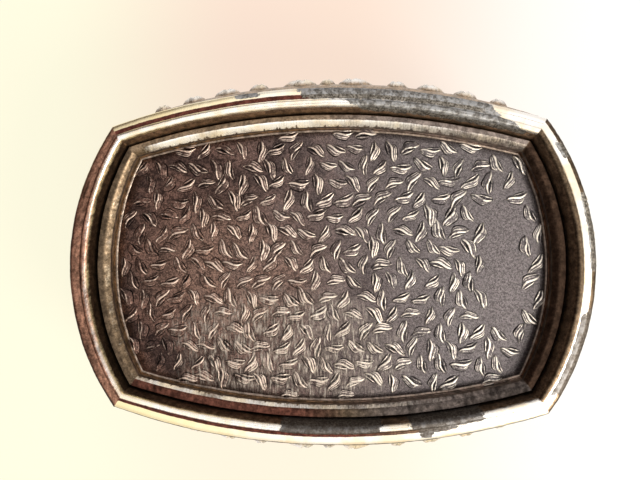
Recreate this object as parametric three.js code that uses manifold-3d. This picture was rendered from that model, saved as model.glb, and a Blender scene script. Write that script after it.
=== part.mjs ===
// A small cast metal trinket box on a foot ring, with a hinged, domed lid and a velvet lining.
// Millimetres. X runs along the box, the hinge is at the back (+Y) and Z is up from the table.
import * as THREE from 'three';
import { LoftGeometry } from 'three/addons/geometries/LoftGeometry.js';
import { mergeVertices } from 'three/addons/utils/BufferGeometryUtils.js';
import Module from 'manifold-3d';

const wasm = await Module();
wasm.setup();

// Fits
const GAP = 0.3; // between pieces that touch on the real box
const CUT_PAST = 1; // how far a cutter runs past the face it opens
const EDGE = 0.3; // rounding of the edges of beads and mouldings

// Outline of the foot: four bowed sides that meet at mitred corners
const FOOT_LENGTH = 104;
const FOOT_WIDTH = 70.6;
const END_BULGE = 9.1; // how far a short side bows out past its corners
const SIDE_BULGE = 6.9; // the same for a long side
const END_FADE = 0.48; // bulge that a short side loses for each millimetre further in
const SIDE_FADE = 0.2; // the same for a long side

// Foot ring, seen from below
const FOOT_ROUNDING = 2.4; // width of the rounded outer edge
const FOOT_ROUNDING_RISE = 2.4;
const QUIRK = 0.4; // small step between the rounding and the flat land
const LAND_WIDTH = 1.4; // flat land that the box stands on
const FOOT_SIDE = 1; // upright part of the foot's side
const RING_DRAFT = 0.5; // how far the ring's inner wall leans in
const RING_DEPTH = 2.5; // from the land to the seam of the base plate

// Base plate, set into the foot ring
const FLANGE_THICKNESS = 1.4;
const FLANGE_WIDTH = 0.9; // part of the plate's edge that the ledge above it holds
const PLATE_STEP = 1.1; // flat step round the plate's moulding
const OGEE_WIDTH = 1.1; // moulding between the step and the leaf panel
const OGEE_FOOT = 0.8; // height of the hollow at the bottom of that moulding
const PANEL_DEPTH = 6; // from the land to the leaf panel
const PANEL_GROOVE = 0.2; // sunk line round the panel
const PANEL_THICKNESS = 1.2;

// Body wall
const BODY_HEIGHT = 29.8;
const NECK_INSET = 1.2; // the waist above the foot
const NECK_HEIGHT = 5.4;
const NECK_EASE = 0.9; // height in which the waist turns
const BELLY_REACH = 4.7; // how far the belly stands out past the foot
const BELLY_HEIGHT = 17;
const SHOULDER_REACH = 3.6; // under the rim bead
const RIM_REACH = 5;
const RIM_BEAD_HEIGHT = 2.8;
const RIM_BEAD_STEP = 0.6; // between the shoulder and the bead
const RIM_WIDTH = 2.6;
const WALL = 2.1;

// Leaves of the frieze round the belly
const FRIEZE_DEPTH = 1.45; // how far a leaf stands out of the wall
const FRIEZE_LEAF_HEIGHT = 12;
const LEAF_LEAN = 0.22; // how far the side leaves lean away from the middle one, in radians
const SIDE_LEAVES = [[0, 3.4], [6.4, 7.4], [15.9, 4.4], [23.2, 6], [31, 5.4], [38.4, 4]]; // place, width
const END_LEAVES = [[0, 5], [7, 6], [14.5, 6], [22, 5]];

// Lid
const LID_BEAD_REACH = 5.9;
const LID_BEAD_HEIGHT = 2.9;
const LID_RIM_WIDTH = 3.9;
const COVE_WIDTH = 3;
const COVE_HEIGHT = 1.2;
const DOME_RISE = 7.6;
const DOME_RINGS = 4; // outlines between the dome's edge and its middle
const LID_WALL = 1.8;
const LID_FAN_LEAF = [5.4, 0.9, 9]; // width, depth and length of a leaf in the fan on each side of the lid
const LID_FAN_PITCH = 5.6; // between the leaves of a fan
const LID_CORNER_LEAF = [9, 1.1, 20]; // the same for the leaf that points to each corner
const LID_LEAF_SLOPE = 0.28; // slope of the dome where its leaves lie, in radians
const LID_FAN_SCALE = 0.8; // where the fans lie, from 0 in the middle of the dome to 1 at its edge
const LID_CORNER_SCALE = 0.68; // the same for the corner leaves
const MEDALLION_LENGTH = 38;
const MEDALLION_WIDTH = 24;
const MEDALLION_RISE = 0.9;
const MEDALLION_ROOT = 2; // how far it reaches down into the dome
const MEDALLION_TOP = 0.92; // size of its flat top against its foot
const LIP_WIDTH = 12;
const LIP_THICKNESS = 1.5;
const LIP_SHOULDER = 0.65; // share of the lip's half width where its curve turns

// Two hinges of three knuckles, each on its own pin
const HINGE_PLACE = 18; // from the middle of the box to the middle of a hinge
const HINGE_BACKSET = 1.5; // from the lid's back edge to the pin's centre
const KNUCKLE_RADIUS = 1.7;
const KNUCKLE_LENGTH = 3;
const PIN_RADIUS = 0.6;
const PIN_HEAD_RADIUS = 1.1;
const PIN_HEAD = 0.5;
const PIN_HEAD_FLAT = 0.7; // flat end of a head against its full width

// Lining of card covered with velvet
const CARD = 1;
const FLOOR_PAD = 2.2;
const WALL_PAD = 2; // card and velvet of a wall lining together
const LINING_LEAN = 3.7; // how much further in a wall lining stands at its foot
const LINING_BELOW_RIM = 0.8;
const LID_PAD = 2;
const PAD_TUCK = 0.4; // how far a cushion is tucked in at its board
const PAD_ROUNDING = 6; // width of a cushion's rounded edge
const WALL_PAD_CROWN = 0.35; // how far the middle of a wall lining swells
const WALL_PAD_EDGE = 0.5; // rounding along its top

// Steps round each arc
const FINE = { end: 9, side: 14 };
const PLAIN = { end: 7, side: 10 };
const ROUND = 16; // facets round a knuckle
const OVAL = 32; // facets round the medallion

// Places worked out from the sizes
const landOuter = FOOT_ROUNDING + QUIRK / 2;
const landInner = landOuter + LAND_WIDTH;
const recessInset = landInner + RING_DRAFT;
const plateInset = recessInset + GAP;
const plateBottom = RING_DEPTH + GAP;
const ledgeBottom = plateBottom + FLANGE_THICKNESS + GAP;
const plateNeckInset = plateInset + FLANGE_WIDTH;
const ledgeInset = plateNeckInset - GAP;
const panelInset = plateInset + PLATE_STEP + OGEE_WIDTH;
const plateTop = PANEL_DEPTH + PANEL_THICKNESS;
const rimOpening = RIM_REACH - RIM_WIDTH;
const lidBottom = BODY_HEIGHT + GAP;
const lidShoulder = lidBottom + LID_BEAD_HEIGHT;
const domeReach = LID_BEAD_REACH - COVE_WIDTH;
const lidOpening = LID_BEAD_REACH - LID_RIM_WIDTH;
const domeBase = lidShoulder + COVE_HEIGHT;
const hingeY = FOOT_WIDTH / 2 + LID_BEAD_REACH + HINGE_BACKSET;
const hingeZ = (BODY_HEIGHT + lidBottom) / 2;
const lipReach = HINGE_BACKSET + KNUCKLE_RADIUS;
const boardBottom = plateTop + GAP;
const boardTop = boardBottom + CARD;
const liningBottom = boardTop + GAP;
const liningTop = BODY_HEIGHT - LINING_BELOW_RIM;

// Materials
function finish(name, color, roughness, metalness) {
	return new THREE.MeshStandardMaterial({ name, color, roughness, metalness });
}
const castMetal = () => finish('antiqued_plate', 0x8d8580, 0.38, 1);
const pinMetal = () => finish('pin_metal', 0xa8a29a, 0.3, 1);
const card = () => finish('card', 0xb7a98c, 0.9, 0);
const velvet = () => finish('velvet', 0x5c1522, 1, 0);

// A closed geometry as a solid that can be joined and cut
function solid(geometry) {
	const bare = new THREE.BufferGeometry();
	bare.setAttribute('position', geometry.getAttribute('position'));
	bare.setIndex(geometry.getIndex());
	const merged = mergeVertices(bare, 1e-4);
	return new wasm.Manifold(new wasm.Mesh({
		numProp: 3,
		vertProperties: merged.attributes.position.array,
		triVerts: new Uint32Array(merged.index.array),
	}));
}

// A solid as a named mesh of the model
function piece(name, shape, material) {
	const mesh = shape.getMesh();
	const geometry = new THREE.BufferGeometry();
	geometry.setAttribute('position', new THREE.BufferAttribute(mesh.vertProperties, 3));
	geometry.setIndex(new THREE.BufferAttribute(mesh.triVerts, 1));
	geometry.computeVertexNormals();
	const made = new THREE.Mesh(geometry, material);
	made.name = name;
	return made;
}

// The four sides in turn, counterclockwise from above; angle is the way each side faces
const SIDES = [
	{ name: 'right', angle: 0, long: false },
	{ name: 'back', angle: Math.PI / 2, long: true },
	{ name: 'left', angle: Math.PI, long: false },
	{ name: 'front', angle: Math.PI * 1.5, long: true },
];

// Chord and arc of one side of the outline that lies inset inside the foot's edge
function sideArc(side, inset) {
	const endBulge = END_BULGE - END_FADE * inset;
	const sideBulge = SIDE_BULGE - SIDE_FADE * inset;
	const cornerX = FOOT_LENGTH / 2 - inset - endBulge;
	const cornerY = FOOT_WIDTH / 2 - inset - sideBulge;
	const half = side.long ? cornerX : cornerY;
	const bulge = side.long ? sideBulge : endBulge;
	const radius = (half * half + bulge * bulge) / (2 * bulge);
	return { chord: side.long ? cornerY : cornerX, bulge, radius, turn: Math.asin(half / radius) };
}

// The point at share (-1 to 1) along a side, and the way the wall faces there
function sidePoint(side, inset, share) {
	const arc = sideArc(side, inset);
	const turn = arc.turn * share;
	const out = arc.chord + arc.bulge + arc.radius * (Math.cos(turn) - 1);
	const along = arc.radius * Math.sin(turn);
	const c = Math.cos(side.angle);
	const s = Math.sin(side.angle);
	return { x: c * out - s * along, y: s * out + c * along, facing: side.angle + turn };
}

// The share of a side that lies at a distance along it from its middle
function shareAt(side, inset, distance) {
	const arc = sideArc(side, inset);
	return distance / (arc.radius * arc.turn);
}

// One whole outline at height z, shrunk towards the middle by scale
function loop(inset, z, steps, scale = 1) {
	const points = [];
	for (const side of SIDES) {
		const count = side.long ? steps.side : steps.end;
		for (let i = 0; i < count; i++) {
			const p = sidePoint(side, inset, -1 + 2 * i / count);
			points.push(new THREE.Vector3(p.x * scale, p.y * scale, z));
		}
	}
	return points;
}

// A solid through outlines given from bottom to top as [inset, z, scale]
function loft(profile, steps) {
	const sections = profile.map(([inset, z, scale]) => loop(inset, z, steps, scale));
	return solid(new LoftGeometry(sections, { capStart: true, capEnd: true }));
}

// Points of a cubic curve in a profile, from a to d
function curve(a, b, c, d, steps) {
	const at = (p) => new THREE.Vector2(p[0], p[1]);
	return new THREE.CubicBezierCurve(at(a), at(b), at(c), at(d)).getPoints(steps).map((p) => [p.x, p.y]);
}

// Outer side of the body: rounded foot edge, waist, belly and rim bead, as [inset, z]
function bodyOutside() {
	const roundingStart = [landOuter - QUIRK / 2, QUIRK];
	const sideStart = [0, FOOT_ROUNDING_RISE];
	const sideEnd = [0, FOOT_ROUNDING_RISE + FOOT_SIDE];
	const neck = [NECK_INSET, NECK_HEIGHT];
	const belly = [-BELLY_REACH, BELLY_HEIGHT];
	const shoulder = [-SHOULDER_REACH, BODY_HEIGHT - RIM_BEAD_HEIGHT];
	const lowSwell = (BELLY_HEIGHT - NECK_HEIGHT) / 2;
	const highSwell = (shoulder[1] - BELLY_HEIGHT) / 2;
	return [
		[landOuter, 0],
		[landOuter - QUIRK / 4, QUIRK],
		...curve(roundingStart, [roundingStart[0] / 2, QUIRK], [0, FOOT_ROUNDING_RISE / 2], sideStart, 4),
		...curve(sideEnd, [0, sideEnd[1] + NECK_EASE], [neck[0], neck[1] - NECK_EASE], neck, 2),
		...curve(neck, [belly[0] / 3, NECK_HEIGHT + NECK_EASE], [belly[0], BELLY_HEIGHT - lowSwell],
			belly, 4).slice(1),
		...curve(belly, [belly[0], BELLY_HEIGHT + highSwell], [shoulder[0], shoulder[1] - highSwell / 2],
			shoulder, 3).slice(1),
		...curve([shoulder[0] - RIM_BEAD_STEP, shoulder[1] + EDGE], [-RIM_REACH, shoulder[1] + EDGE],
			[-RIM_REACH - EDGE, BODY_HEIGHT - EDGE], [-RIM_REACH + EDGE, BODY_HEIGHT], 3),
	];
}

// Hollow of the body, from under the foot to above the rim, as [inset, z]
function bodyHollow() {
	const start = [NECK_INSET + WALL, plateTop];
	const belly = [WALL - BELLY_REACH, BELLY_HEIGHT];
	const lowSwell = (BELLY_HEIGHT - plateTop) / 2;
	const mouthZ = BODY_HEIGHT - RIM_BEAD_HEIGHT;
	return [
		[landInner, -CUT_PAST],
		[landInner, 0],
		[recessInset, RING_DEPTH],
		[recessInset, ledgeBottom],
		[ledgeInset, ledgeBottom],
		[ledgeInset, plateTop],
		...curve(start, [start[0] / 3, plateTop + 1], [belly[0], BELLY_HEIGHT - lowSwell], belly, 4),
		[-rimOpening, mouthZ],
		[-rimOpening, BODY_HEIGHT + CUT_PAST],
	];
}

// A leaf of a frieze: a half-sunk ellipsoid, set on a wall at a point and turned to face out
function leaf(width, depth, height, place, facing, lean, pitch = 0) {
	const geometry = new THREE.SphereGeometry(1, 8, 6);
	geometry.scale(depth, width / 2, height / 2);
	geometry.rotateX(lean);
	geometry.rotateY(pitch);
	geometry.rotateZ(facing);
	geometry.translate(place.x, place.y, place.z);
	return solid(geometry);
}

// The places of a side's leaves, mirrored about its middle, as [distance, width, direction]
function leafPlaces(side) {
	const leaves = side.long ? SIDE_LEAVES : END_LEAVES;
	return leaves.flatMap(([distance, width]) => (
		distance === 0 ? [[0, width, 0]] : [[-distance, width, -1], [distance, width, 1]]
	));
}

// Leaves round the belly
function bellyFrieze() {
	const leaves = [];
	for (const side of SIDES) {
		for (const [distance, width, way] of leafPlaces(side)) {
			const share = shareAt(side, -BELLY_REACH, distance);
			const p = sidePoint(side, -BELLY_REACH, share);
			const place = { x: p.x, y: p.y, z: BELLY_HEIGHT };
			leaves.push(leaf(width, FRIEZE_DEPTH, FRIEZE_LEAF_HEIGHT, place, p.facing, way * LEAF_LEAN));
		}
	}
	return leaves;
}

// One knuckle of a hinge with the web that carries it, from the pin's centre to y = root
function knuckle(middleX, root, webBottom, webTop) {
	const barrel = new THREE.CylinderGeometry(KNUCKLE_RADIUS, KNUCKLE_RADIUS, KNUCKLE_LENGTH, ROUND);
	barrel.rotateZ(Math.PI / 2);
	barrel.translate(middleX, hingeY, hingeZ);
	const web = new THREE.BoxGeometry(KNUCKLE_LENGTH, hingeY - root, webTop - webBottom);
	web.translate(middleX, (hingeY + root) / 2, (webBottom + webTop) / 2);
	return solid(barrel).add(solid(web));
}

// The y of the outline's back side at x
function backY(inset, x) {
	const arc = sideArc(SIDES[1], inset);
	return arc.chord + arc.bulge + Math.sqrt(arc.radius ** 2 - x * x) - arc.radius;
}

// Bore through a hinge's knuckles, which clears the pin
function hingeBore(middleX) {
	const length = 3 * KNUCKLE_LENGTH + 2 * GAP + 2 * CUT_PAST;
	const bore = new THREE.CylinderGeometry(PIN_RADIUS + GAP, PIN_RADIUS + GAP, length, ROUND);
	bore.rotateZ(Math.PI / 2);
	bore.translate(middleX, hingeY, hingeZ);
	return solid(bore);
}

// Body casting
function body() {
	let shape = loft(bodyOutside(), FINE);
	for (const oneLeaf of bellyFrieze()) shape = shape.add(oneLeaf);
	shape = shape.subtract(loft(bodyHollow(), PLAIN));
	for (const middle of [-HINGE_PLACE, HINGE_PLACE]) {
		for (const way of [-1, 1]) {
			const x = middle + way * (KNUCKLE_LENGTH + GAP);
			const root = backY(-SHOULDER_REACH, x);
			shape = shape.add(knuckle(x, root, hingeZ - KNUCKLE_RADIUS, BODY_HEIGHT));
		}
		shape = shape.subtract(hingeBore(middle));
	}
	return piece('body', shape, castMetal());
}

// Base plate: a flanged plate whose underside holds the moulding and the sunk leaf panel
function basePlate() {
	const blank = loft([
		[plateInset, plateBottom],
		[plateInset, plateBottom + FLANGE_THICKNESS],
		[plateNeckInset, plateBottom + FLANGE_THICKNESS],
		[plateNeckInset, plateTop],
	], FINE);
	const stepEnd = plateInset + PLATE_STEP;
	const recess = loft([
		[stepEnd, plateBottom - CUT_PAST],
		[stepEnd, plateBottom],
		...curve([stepEnd + EDGE / 2, plateBottom + EDGE], [panelInset, plateBottom + EDGE],
			[(stepEnd + panelInset) / 2, PANEL_DEPTH - OGEE_FOOT], [panelInset, PANEL_DEPTH + PANEL_GROOVE], 5),
	], FINE);
	const field = loft([
		[panelInset + PANEL_GROOVE * 2, PANEL_DEPTH],
		[panelInset + PANEL_GROOVE, PANEL_DEPTH + PANEL_GROOVE],
		[panelInset + PANEL_GROOVE, plateTop - PANEL_THICKNESS / 2],
	], FINE);
	return piece('base_plate', blank.subtract(recess).add(field), castMetal());
}

// Height of the lid's dome above the table at a scale from 0 in the middle to 1 at its edge
function domeZ(scale) {
	return domeBase + DOME_RISE * (1 - scale * scale);
}

// The dome from near its edge to near its middle, sunk by a wall's thickness, as [inset, z, scale]
function dome(inset, sunk) {
	const steps = Array.from({ length: DOME_RINGS }, (_, i) => (i + 1) / (DOME_RINGS + 1));
	return steps.map((step) => {
		const scale = Math.cos(step * Math.PI / 2);
		return [inset, domeZ(scale) - sunk, scale];
	});
}

// Lid casting
function lid() {
	const edge = -LID_BEAD_REACH;
	const third = LID_BEAD_HEIGHT / 3;
	let shape = loft([
		[-RIM_REACH, lidBottom],
		...curve([edge + EDGE, lidBottom + EDGE], [edge, lidBottom + third], [edge, lidShoulder - third],
			[edge + third, lidShoulder], 4),
		...curve([edge + third + EDGE, lidShoulder], [-domeReach - COVE_WIDTH / 4, lidShoulder],
			[-domeReach, domeBase - COVE_HEIGHT / 2], [-domeReach, domeBase], 3),
		...dome(-domeReach, 0),
	], FINE);
	const hollow = loft([
		[-lidOpening, lidBottom - CUT_PAST],
		[-lidOpening, domeBase - LID_WALL],
		...dome(-lidOpening, LID_WALL),
	], PLAIN);
	for (const oneLeaf of lidLeaves()) shape = shape.add(oneLeaf);
	shape = shape.add(medallion()).subtract(hollow).add(lip());
	for (const x of [-HINGE_PLACE, HINGE_PLACE]) {
		const root = backY(-domeReach, x);
		shape = shape.add(knuckle(x, root, lidBottom, hingeZ + KNUCKLE_RADIUS));
		shape = shape.subtract(hingeBore(x));
	}
	return piece('lid', shape, castMetal());
}

// Leaves that lie on the dome: a fan of three on each side and one that points to each corner
function lidLeaves() {
	const leaves = [];
	const pitch = Math.PI / 2 + LID_LEAF_SLOPE;
	const lay = (side, share, scale, [width, depth, length], lean) => {
		const p = sidePoint(side, -domeReach, share);
		const place = { x: p.x * scale, y: p.y * scale, z: domeZ(scale) };
		leaves.push(leaf(width, depth, length, place, Math.atan2(place.y, place.x), lean, pitch));
	};
	for (const side of SIDES) {
		for (const way of [-1, 0, 1]) {
			const share = shareAt(side, -domeReach, way * LID_FAN_PITCH);
			lay(side, share, LID_FAN_SCALE, LID_FAN_LEAF, -way * LEAF_LEAN);
		}
		lay(side, 1, LID_CORNER_SCALE, LID_CORNER_LEAF, 0);
	}
	return leaves;
}

// Oval medallion on the top of the lid, with a rounded edge
function medallion() {
	const edge = (1 + MEDALLION_TOP) / 2;
	const levels = [
		[1, -MEDALLION_ROOT],
		[1, 0],
		[edge, MEDALLION_RISE - EDGE],
		[MEDALLION_TOP, MEDALLION_RISE],
	];
	const top = domeZ(0);
	const sections = levels.map(([share, rise]) => {
		const oval = new THREE.EllipseCurve(0, 0, share * MEDALLION_LENGTH / 2, share * MEDALLION_WIDTH / 2);
		return oval.getPoints(OVAL).slice(0, OVAL).map((p) => new THREE.Vector3(p.x, p.y, top + rise));
	});
	return solid(new LoftGeometry(sections, { capStart: true, capEnd: true }));
}

// Thumb lip at the front of the lid: a rounded tongue
function lip() {
	const rim = -FOOT_WIDTH / 2 - LID_BEAD_REACH;
	const half = LIP_WIDTH / 2;
	const turn = half * LIP_SHOULDER;
	const shape = new THREE.Shape();
	shape.moveTo(-half, rim + COVE_WIDTH);
	shape.lineTo(-half, rim + EDGE);
	shape.bezierCurveTo(-turn, rim - EDGE, -turn, rim - lipReach, 0, rim - lipReach);
	shape.bezierCurveTo(turn, rim - lipReach, turn, rim - EDGE, half, rim + EDGE);
	shape.lineTo(half, rim + COVE_WIDTH);
	shape.closePath();
	const tongue = new THREE.ExtrudeGeometry(shape, { depth: LIP_THICKNESS, bevelEnabled: false });
	tongue.translate(0, 0, lidBottom + GAP);
	return solid(tongue);
}

// Hinge pin with a peened head at each end
function hingePin(name, middleX) {
	const half = (3 * KNUCKLE_LENGTH + 2 * GAP) / 2 + GAP;
	const profile = [
		[0, -half - PIN_HEAD],
		[PIN_HEAD_RADIUS * PIN_HEAD_FLAT, -half - PIN_HEAD],
		[PIN_HEAD_RADIUS, -half - PIN_HEAD / 2],
		[PIN_HEAD_RADIUS, -half],
		[PIN_RADIUS, -half],
		[PIN_RADIUS, half],
		[PIN_HEAD_RADIUS, half],
		[PIN_HEAD_RADIUS, half + PIN_HEAD / 2],
		[PIN_HEAD_RADIUS * PIN_HEAD_FLAT, half + PIN_HEAD],
		[0, half + PIN_HEAD],
	].map(([r, along]) => new THREE.Vector2(r, along));
	const pin = new THREE.LatheGeometry(profile, ROUND);
	pin.rotateZ(Math.PI / 2);
	pin.translate(middleX, hingeY, hingeZ);
	return piece(name, solid(pin), pinMetal());
}

// Card under the floor cushion, laid on the base plate and the ledge round it
function floorBoard() {
	const inset = NECK_INSET + WALL + GAP;
	return piece('floor_board', loft([[inset, boardBottom], [inset, boardTop]], PLAIN), card());
}

// Inset of the wall linings' outer face at height z: they lean out towards the rim
function liningInset(z) {
	const share = (liningTop - z) / (liningTop - liningBottom);
	return GAP - rimOpening + LINING_LEAN * share;
}

// A cushion's side and rounded edge, from its board to its flat, as [inset, height]
function cushion(inset, height) {
	return [
		[inset + PAD_TUCK, 0],
		...curve([inset, height / 4], [inset + PAD_ROUNDING / 4, height * 2 / 3],
			[inset + PAD_ROUNDING / 2, height], [inset + PAD_ROUNDING, height], 3),
	];
}

// Velvet floor cushion between the wall linings
function floorPad() {
	const inset = liningInset(liningBottom) + WALL_PAD + GAP;
	const profile = cushion(inset, FLOOR_PAD).map(([edge, height]) => [edge, liningBottom + height]);
	return piece('floor_pad', loft(profile, PLAIN), velvet());
}

// One wall lining: a padded card that follows a side and ends short of the corners' mitres
function wallLining(side) {
	const steps = side.long ? PLAIN.side : PLAIN.end;
	const middleZ = (liningBottom + liningTop) / 2;
	const corners = [
		[0, liningBottom],
		[WALL_PAD, liningBottom],
		[WALL_PAD + WALL_PAD_CROWN, middleZ],
		[WALL_PAD, liningTop - WALL_PAD_EDGE],
		[WALL_PAD - WALL_PAD_EDGE, liningTop],
		[0, liningTop],
	];
	const sections = [];
	for (let i = 0; i <= steps; i++) {
		const share = -1 + 2 * i / steps;
		sections.push(corners.map(([depth, z]) => {
			const inset = liningInset(z) + depth;
			const arc = sideArc(side, inset);
			const short = 1 - GAP / (arc.radius * arc.turn);
			const p = sidePoint(side, inset, share * short);
			return new THREE.Vector3(p.x, p.y, z);
		}));
	}
	const shape = solid(new LoftGeometry(sections, { capStart: true, capEnd: true }));
	return piece('lining_' + side.name, shape, velvet());
}

// Card in the lid's underside
function lidBoard() {
	const inset = GAP - lidOpening;
	const top = domeBase - LID_WALL - GAP;
	return piece('lid_board', loft([[inset, top - CARD], [inset, top]], PLAIN), card());
}

// Padded lining under the lid's card, which hangs clear of the wall linings
function lidPad() {
	const top = domeBase - LID_WALL - GAP - CARD - GAP;
	const profile = cushion(GAP - lidOpening, LID_PAD).map(([edge, height]) => [edge, top - height]);
	return piece('lid_pad', loft(profile.reverse(), PLAIN), velvet());
}

const box = new THREE.Group();
box.add(body());
box.add(basePlate());
box.add(hingePin('hinge_pin_left', -HINGE_PLACE));
box.add(hingePin('hinge_pin_right', HINGE_PLACE));
box.add(floorBoard());
box.add(floorPad());
for (const side of SIDES) box.add(wallLining(side));
const lidGroup = new THREE.Group();
lidGroup.add(lid());
lidGroup.add(lidBoard());
lidGroup.add(lidPad());
box.add(lidGroup);

export default box;
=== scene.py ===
"""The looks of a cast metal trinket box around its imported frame.

Sizes and places are millimetres until a mesh is made. X runs along the box, +Y is the hinge side and +Z up.
"""

import math

import bpy
import numpy as np
from mathutils import Matrix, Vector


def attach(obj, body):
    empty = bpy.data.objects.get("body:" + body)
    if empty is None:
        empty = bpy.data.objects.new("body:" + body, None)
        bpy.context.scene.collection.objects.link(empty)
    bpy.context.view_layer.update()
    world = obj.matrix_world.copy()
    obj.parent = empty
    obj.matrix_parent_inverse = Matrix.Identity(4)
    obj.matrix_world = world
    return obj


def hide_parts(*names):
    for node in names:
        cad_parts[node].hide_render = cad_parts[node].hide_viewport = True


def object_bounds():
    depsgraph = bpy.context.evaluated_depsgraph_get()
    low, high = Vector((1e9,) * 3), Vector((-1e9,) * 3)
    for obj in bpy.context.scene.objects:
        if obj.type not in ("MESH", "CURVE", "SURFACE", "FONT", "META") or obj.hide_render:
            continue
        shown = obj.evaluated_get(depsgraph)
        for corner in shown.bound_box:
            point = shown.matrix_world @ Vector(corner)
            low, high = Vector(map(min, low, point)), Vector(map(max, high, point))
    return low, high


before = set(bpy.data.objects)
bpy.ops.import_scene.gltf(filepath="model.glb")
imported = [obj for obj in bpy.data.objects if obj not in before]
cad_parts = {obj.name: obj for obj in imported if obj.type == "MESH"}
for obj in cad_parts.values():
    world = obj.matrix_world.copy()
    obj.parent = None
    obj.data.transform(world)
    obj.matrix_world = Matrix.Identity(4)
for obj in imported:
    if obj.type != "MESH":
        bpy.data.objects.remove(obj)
cad_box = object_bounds()

MM = 0.001
GAP = 0.3  # between pieces that touch on the real box

# Sides of the box, in the order of the tables below
RIGHT = 0
HINGE_SIDE = 1
LEFT = 2
FRONT = 3

# Outline of the foot: four bowed sides that meet at mitred corners
FOOT_LENGTH = 104.0
FOOT_WIDTH = 70.6
END_BULGE = 9.1
SIDE_BULGE = 6.9
END_FADE = 0.48
SIDE_FADE = 0.2

# Foot ring
FOOT_ROUNDING = 2.4
QUIRK = 0.4
LAND_WIDTH = 1.4
FOOT_SIDE = 1.0
RING_DRAFT = 0.5
RING_DEPTH = 2.5
FOOT_SHOULDER = 0.55  # wear that rounds the land's inner edge
FOOT_FULLNESS = 0.2  # by which the rounding swells past the foot's edge
SLOW_WAVES = 0.06  # height of the casting's unevenness
QUICK_NICKS = 0.025

# Bands of the foot for each side, partly worn bright and partly painted highlight that differs by side:
# start, end, both counted in from the outer edge, and how bright
OUTER_WEAR_AND_HIGHLIGHT = np.array([(1.05, 2.65, 0.88), (0.3, 1.85, 0.95), (0.0, 1.0, 0.0), (-0.2, 1.35, 1.1)])
CROWN_WEAR_AND_HIGHLIGHT = np.array([(2.6, 3.0, 0.2), (2.75, 3.9, 0.74), (3.0, 4.1, 0.46), (2.3, 3.85, 1.3)])

# Lightness of the dark patina on each side, and how maroon it is outside the crown; with the bead's tables
# below, these differ by side partly as patina and partly as painted reflection
OUTER_TONE = np.array([0.17, 0.17, 0.52, 0.2])
OUTER_WARMTH = np.array([0.1, 1.0, 0.5, 1.0])
SLOPE_TONE = np.array([0.33, 0.25, 0.09, 0.56])
STEP_TONE = np.array([0.09, 0.19, 0.18, 0.36])
# The bead's bright part, where it starts and how bright it is on each side, is partly wear and partly painted
# highlight.
BEAD_START = np.array([0.0, 0.5, 0.35, -0.1])  # of the bright part, in from the step
BEAD_TONE = np.array([0.1, 0.34, 0.24, 0.3])
BEAD_WEAR_AND_HIGHLIGHT = np.array([0.0, 0.46, 0.21, 0.66])
BEAD_RAG = np.array([0.0, 0.35, 0.15, 0.6])  # by which brushing has frayed its inner edge
EDGE_TONE = np.array([0.34, 0.6, 0.52, 0.56])
WALL_TONE = 0.42
LID_TONE = 0.16
LID_WARMTH = -0.7
REGION_SOFT = 0.6  # share of a toned region's size by which its edge is soft to either side

# Stretches of the foot without plate: side, the run along it, the span across it, as above, and how far the
# run moves along for each millimetre across
BARE_PLATE = (
    (FRONT, -6.5, 31, -0.5, 2.3, 1.2),
    (FRONT, 3, 35, 2.3, 4.3, 2.4),
    (FRONT, -18, -13, -0.3, 1.1, 0),
    (RIGHT, -24, -21, 0.2, 1.8, 0.3),
    (RIGHT, -14.3, 0.9, 0.2, 1.3, 0),
    (RIGHT, 8.3, 24, 0.2, 2.2, 0.4),
    (HINGE_SIDE, -9, 10.4, 2.4, 5.0, 0.2),
    (HINGE_SIDE, 17, 31, 2.2, 5.0, -0.4),
    (HINGE_SIDE, 17.8, 26, 1.6, 2.4, 0),
    (HINGE_SIDE, 18.6, 21, 0.5, 1.8, 0),
)

# Base plate
FLANGE_THICKNESS = 1.4
FLANGE_WIDTH = 0.9
PLATE_STEP = 1.1
OGEE_WIDTH = 1.1
BEAD_FALL = 1.25  # of the bead inside the step, before it drops to the panel
PANEL_DEPTH = 6.0
PANEL_GROOVE = 0.2
PANEL_THICKNESS = 1.2
PANEL_SLAB = 0.3  # thickness of the slab that shows as the panel
PANEL_FILLET = 0.18  # raised line inside the groove round the panel

# Wall
BODY_HEIGHT = 29.8
NECK_INSET = 1.2
NECK_HEIGHT = 5.4
BELLY_REACH = 4.7
BELLY_HEIGHT = 17.0
SHOULDER_REACH = 3.6
RIM_REACH = 5.0
RIM_BEAD_HEIGHT = 2.8
RIM_WIDTH = 2.6
WALL = 2.1
FRIEZE_DEPTH = 1.45
FRIEZE_LEAF_HEIGHT = 12.0
FRIEZE_TOP = 26.0
LEAF_LEAN = 0.22
LOBE_PITCH = 2.4
VEIN_PITCH = 1.5
SIDE_LEAVES = ((0, 3.4), (6.4, 7.4), (15.9, 4.4), (23.2, 6), (31, 5.4), (38.4, 4))
END_LEAVES = ((0, 5), (7, 6), (14.5, 6), (22, 5))

# Lid
LID_BEAD_REACH = 5.9
LID_BEAD_HEIGHT = 2.9
LID_RIM_WIDTH = 3.9
COVE_WIDTH = 3.0
COVE_HEIGHT = 1.2
DOME_RISE = 7.6
LID_WALL = 1.8
LID_FAN_LEAF = (5.4, 0.9, 9.0)
LID_FAN_PITCH = 5.6
LID_CORNER_LEAF = (9.0, 1.1, 20.0)
LID_FAN_SCALE = 0.8
LID_CORNER_SCALE = 0.68
MEDALLION_LENGTH = 38.0
MEDALLION_WIDTH = 24.0
MEDALLION_RISE = 0.9
LIP_WIDTH = 12.0
LIP_THICKNESS = 1.5

# Hinges
HINGE_PLACE = 18.0
HINGE_BACKSET = 1.5
KNUCKLE_RADIUS = 1.7
KNUCKLE_LENGTH = 3.0
PIN_RADIUS = 0.6
PIN_HEAD_RADIUS = 1.1
PIN_HEAD = 0.5

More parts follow.
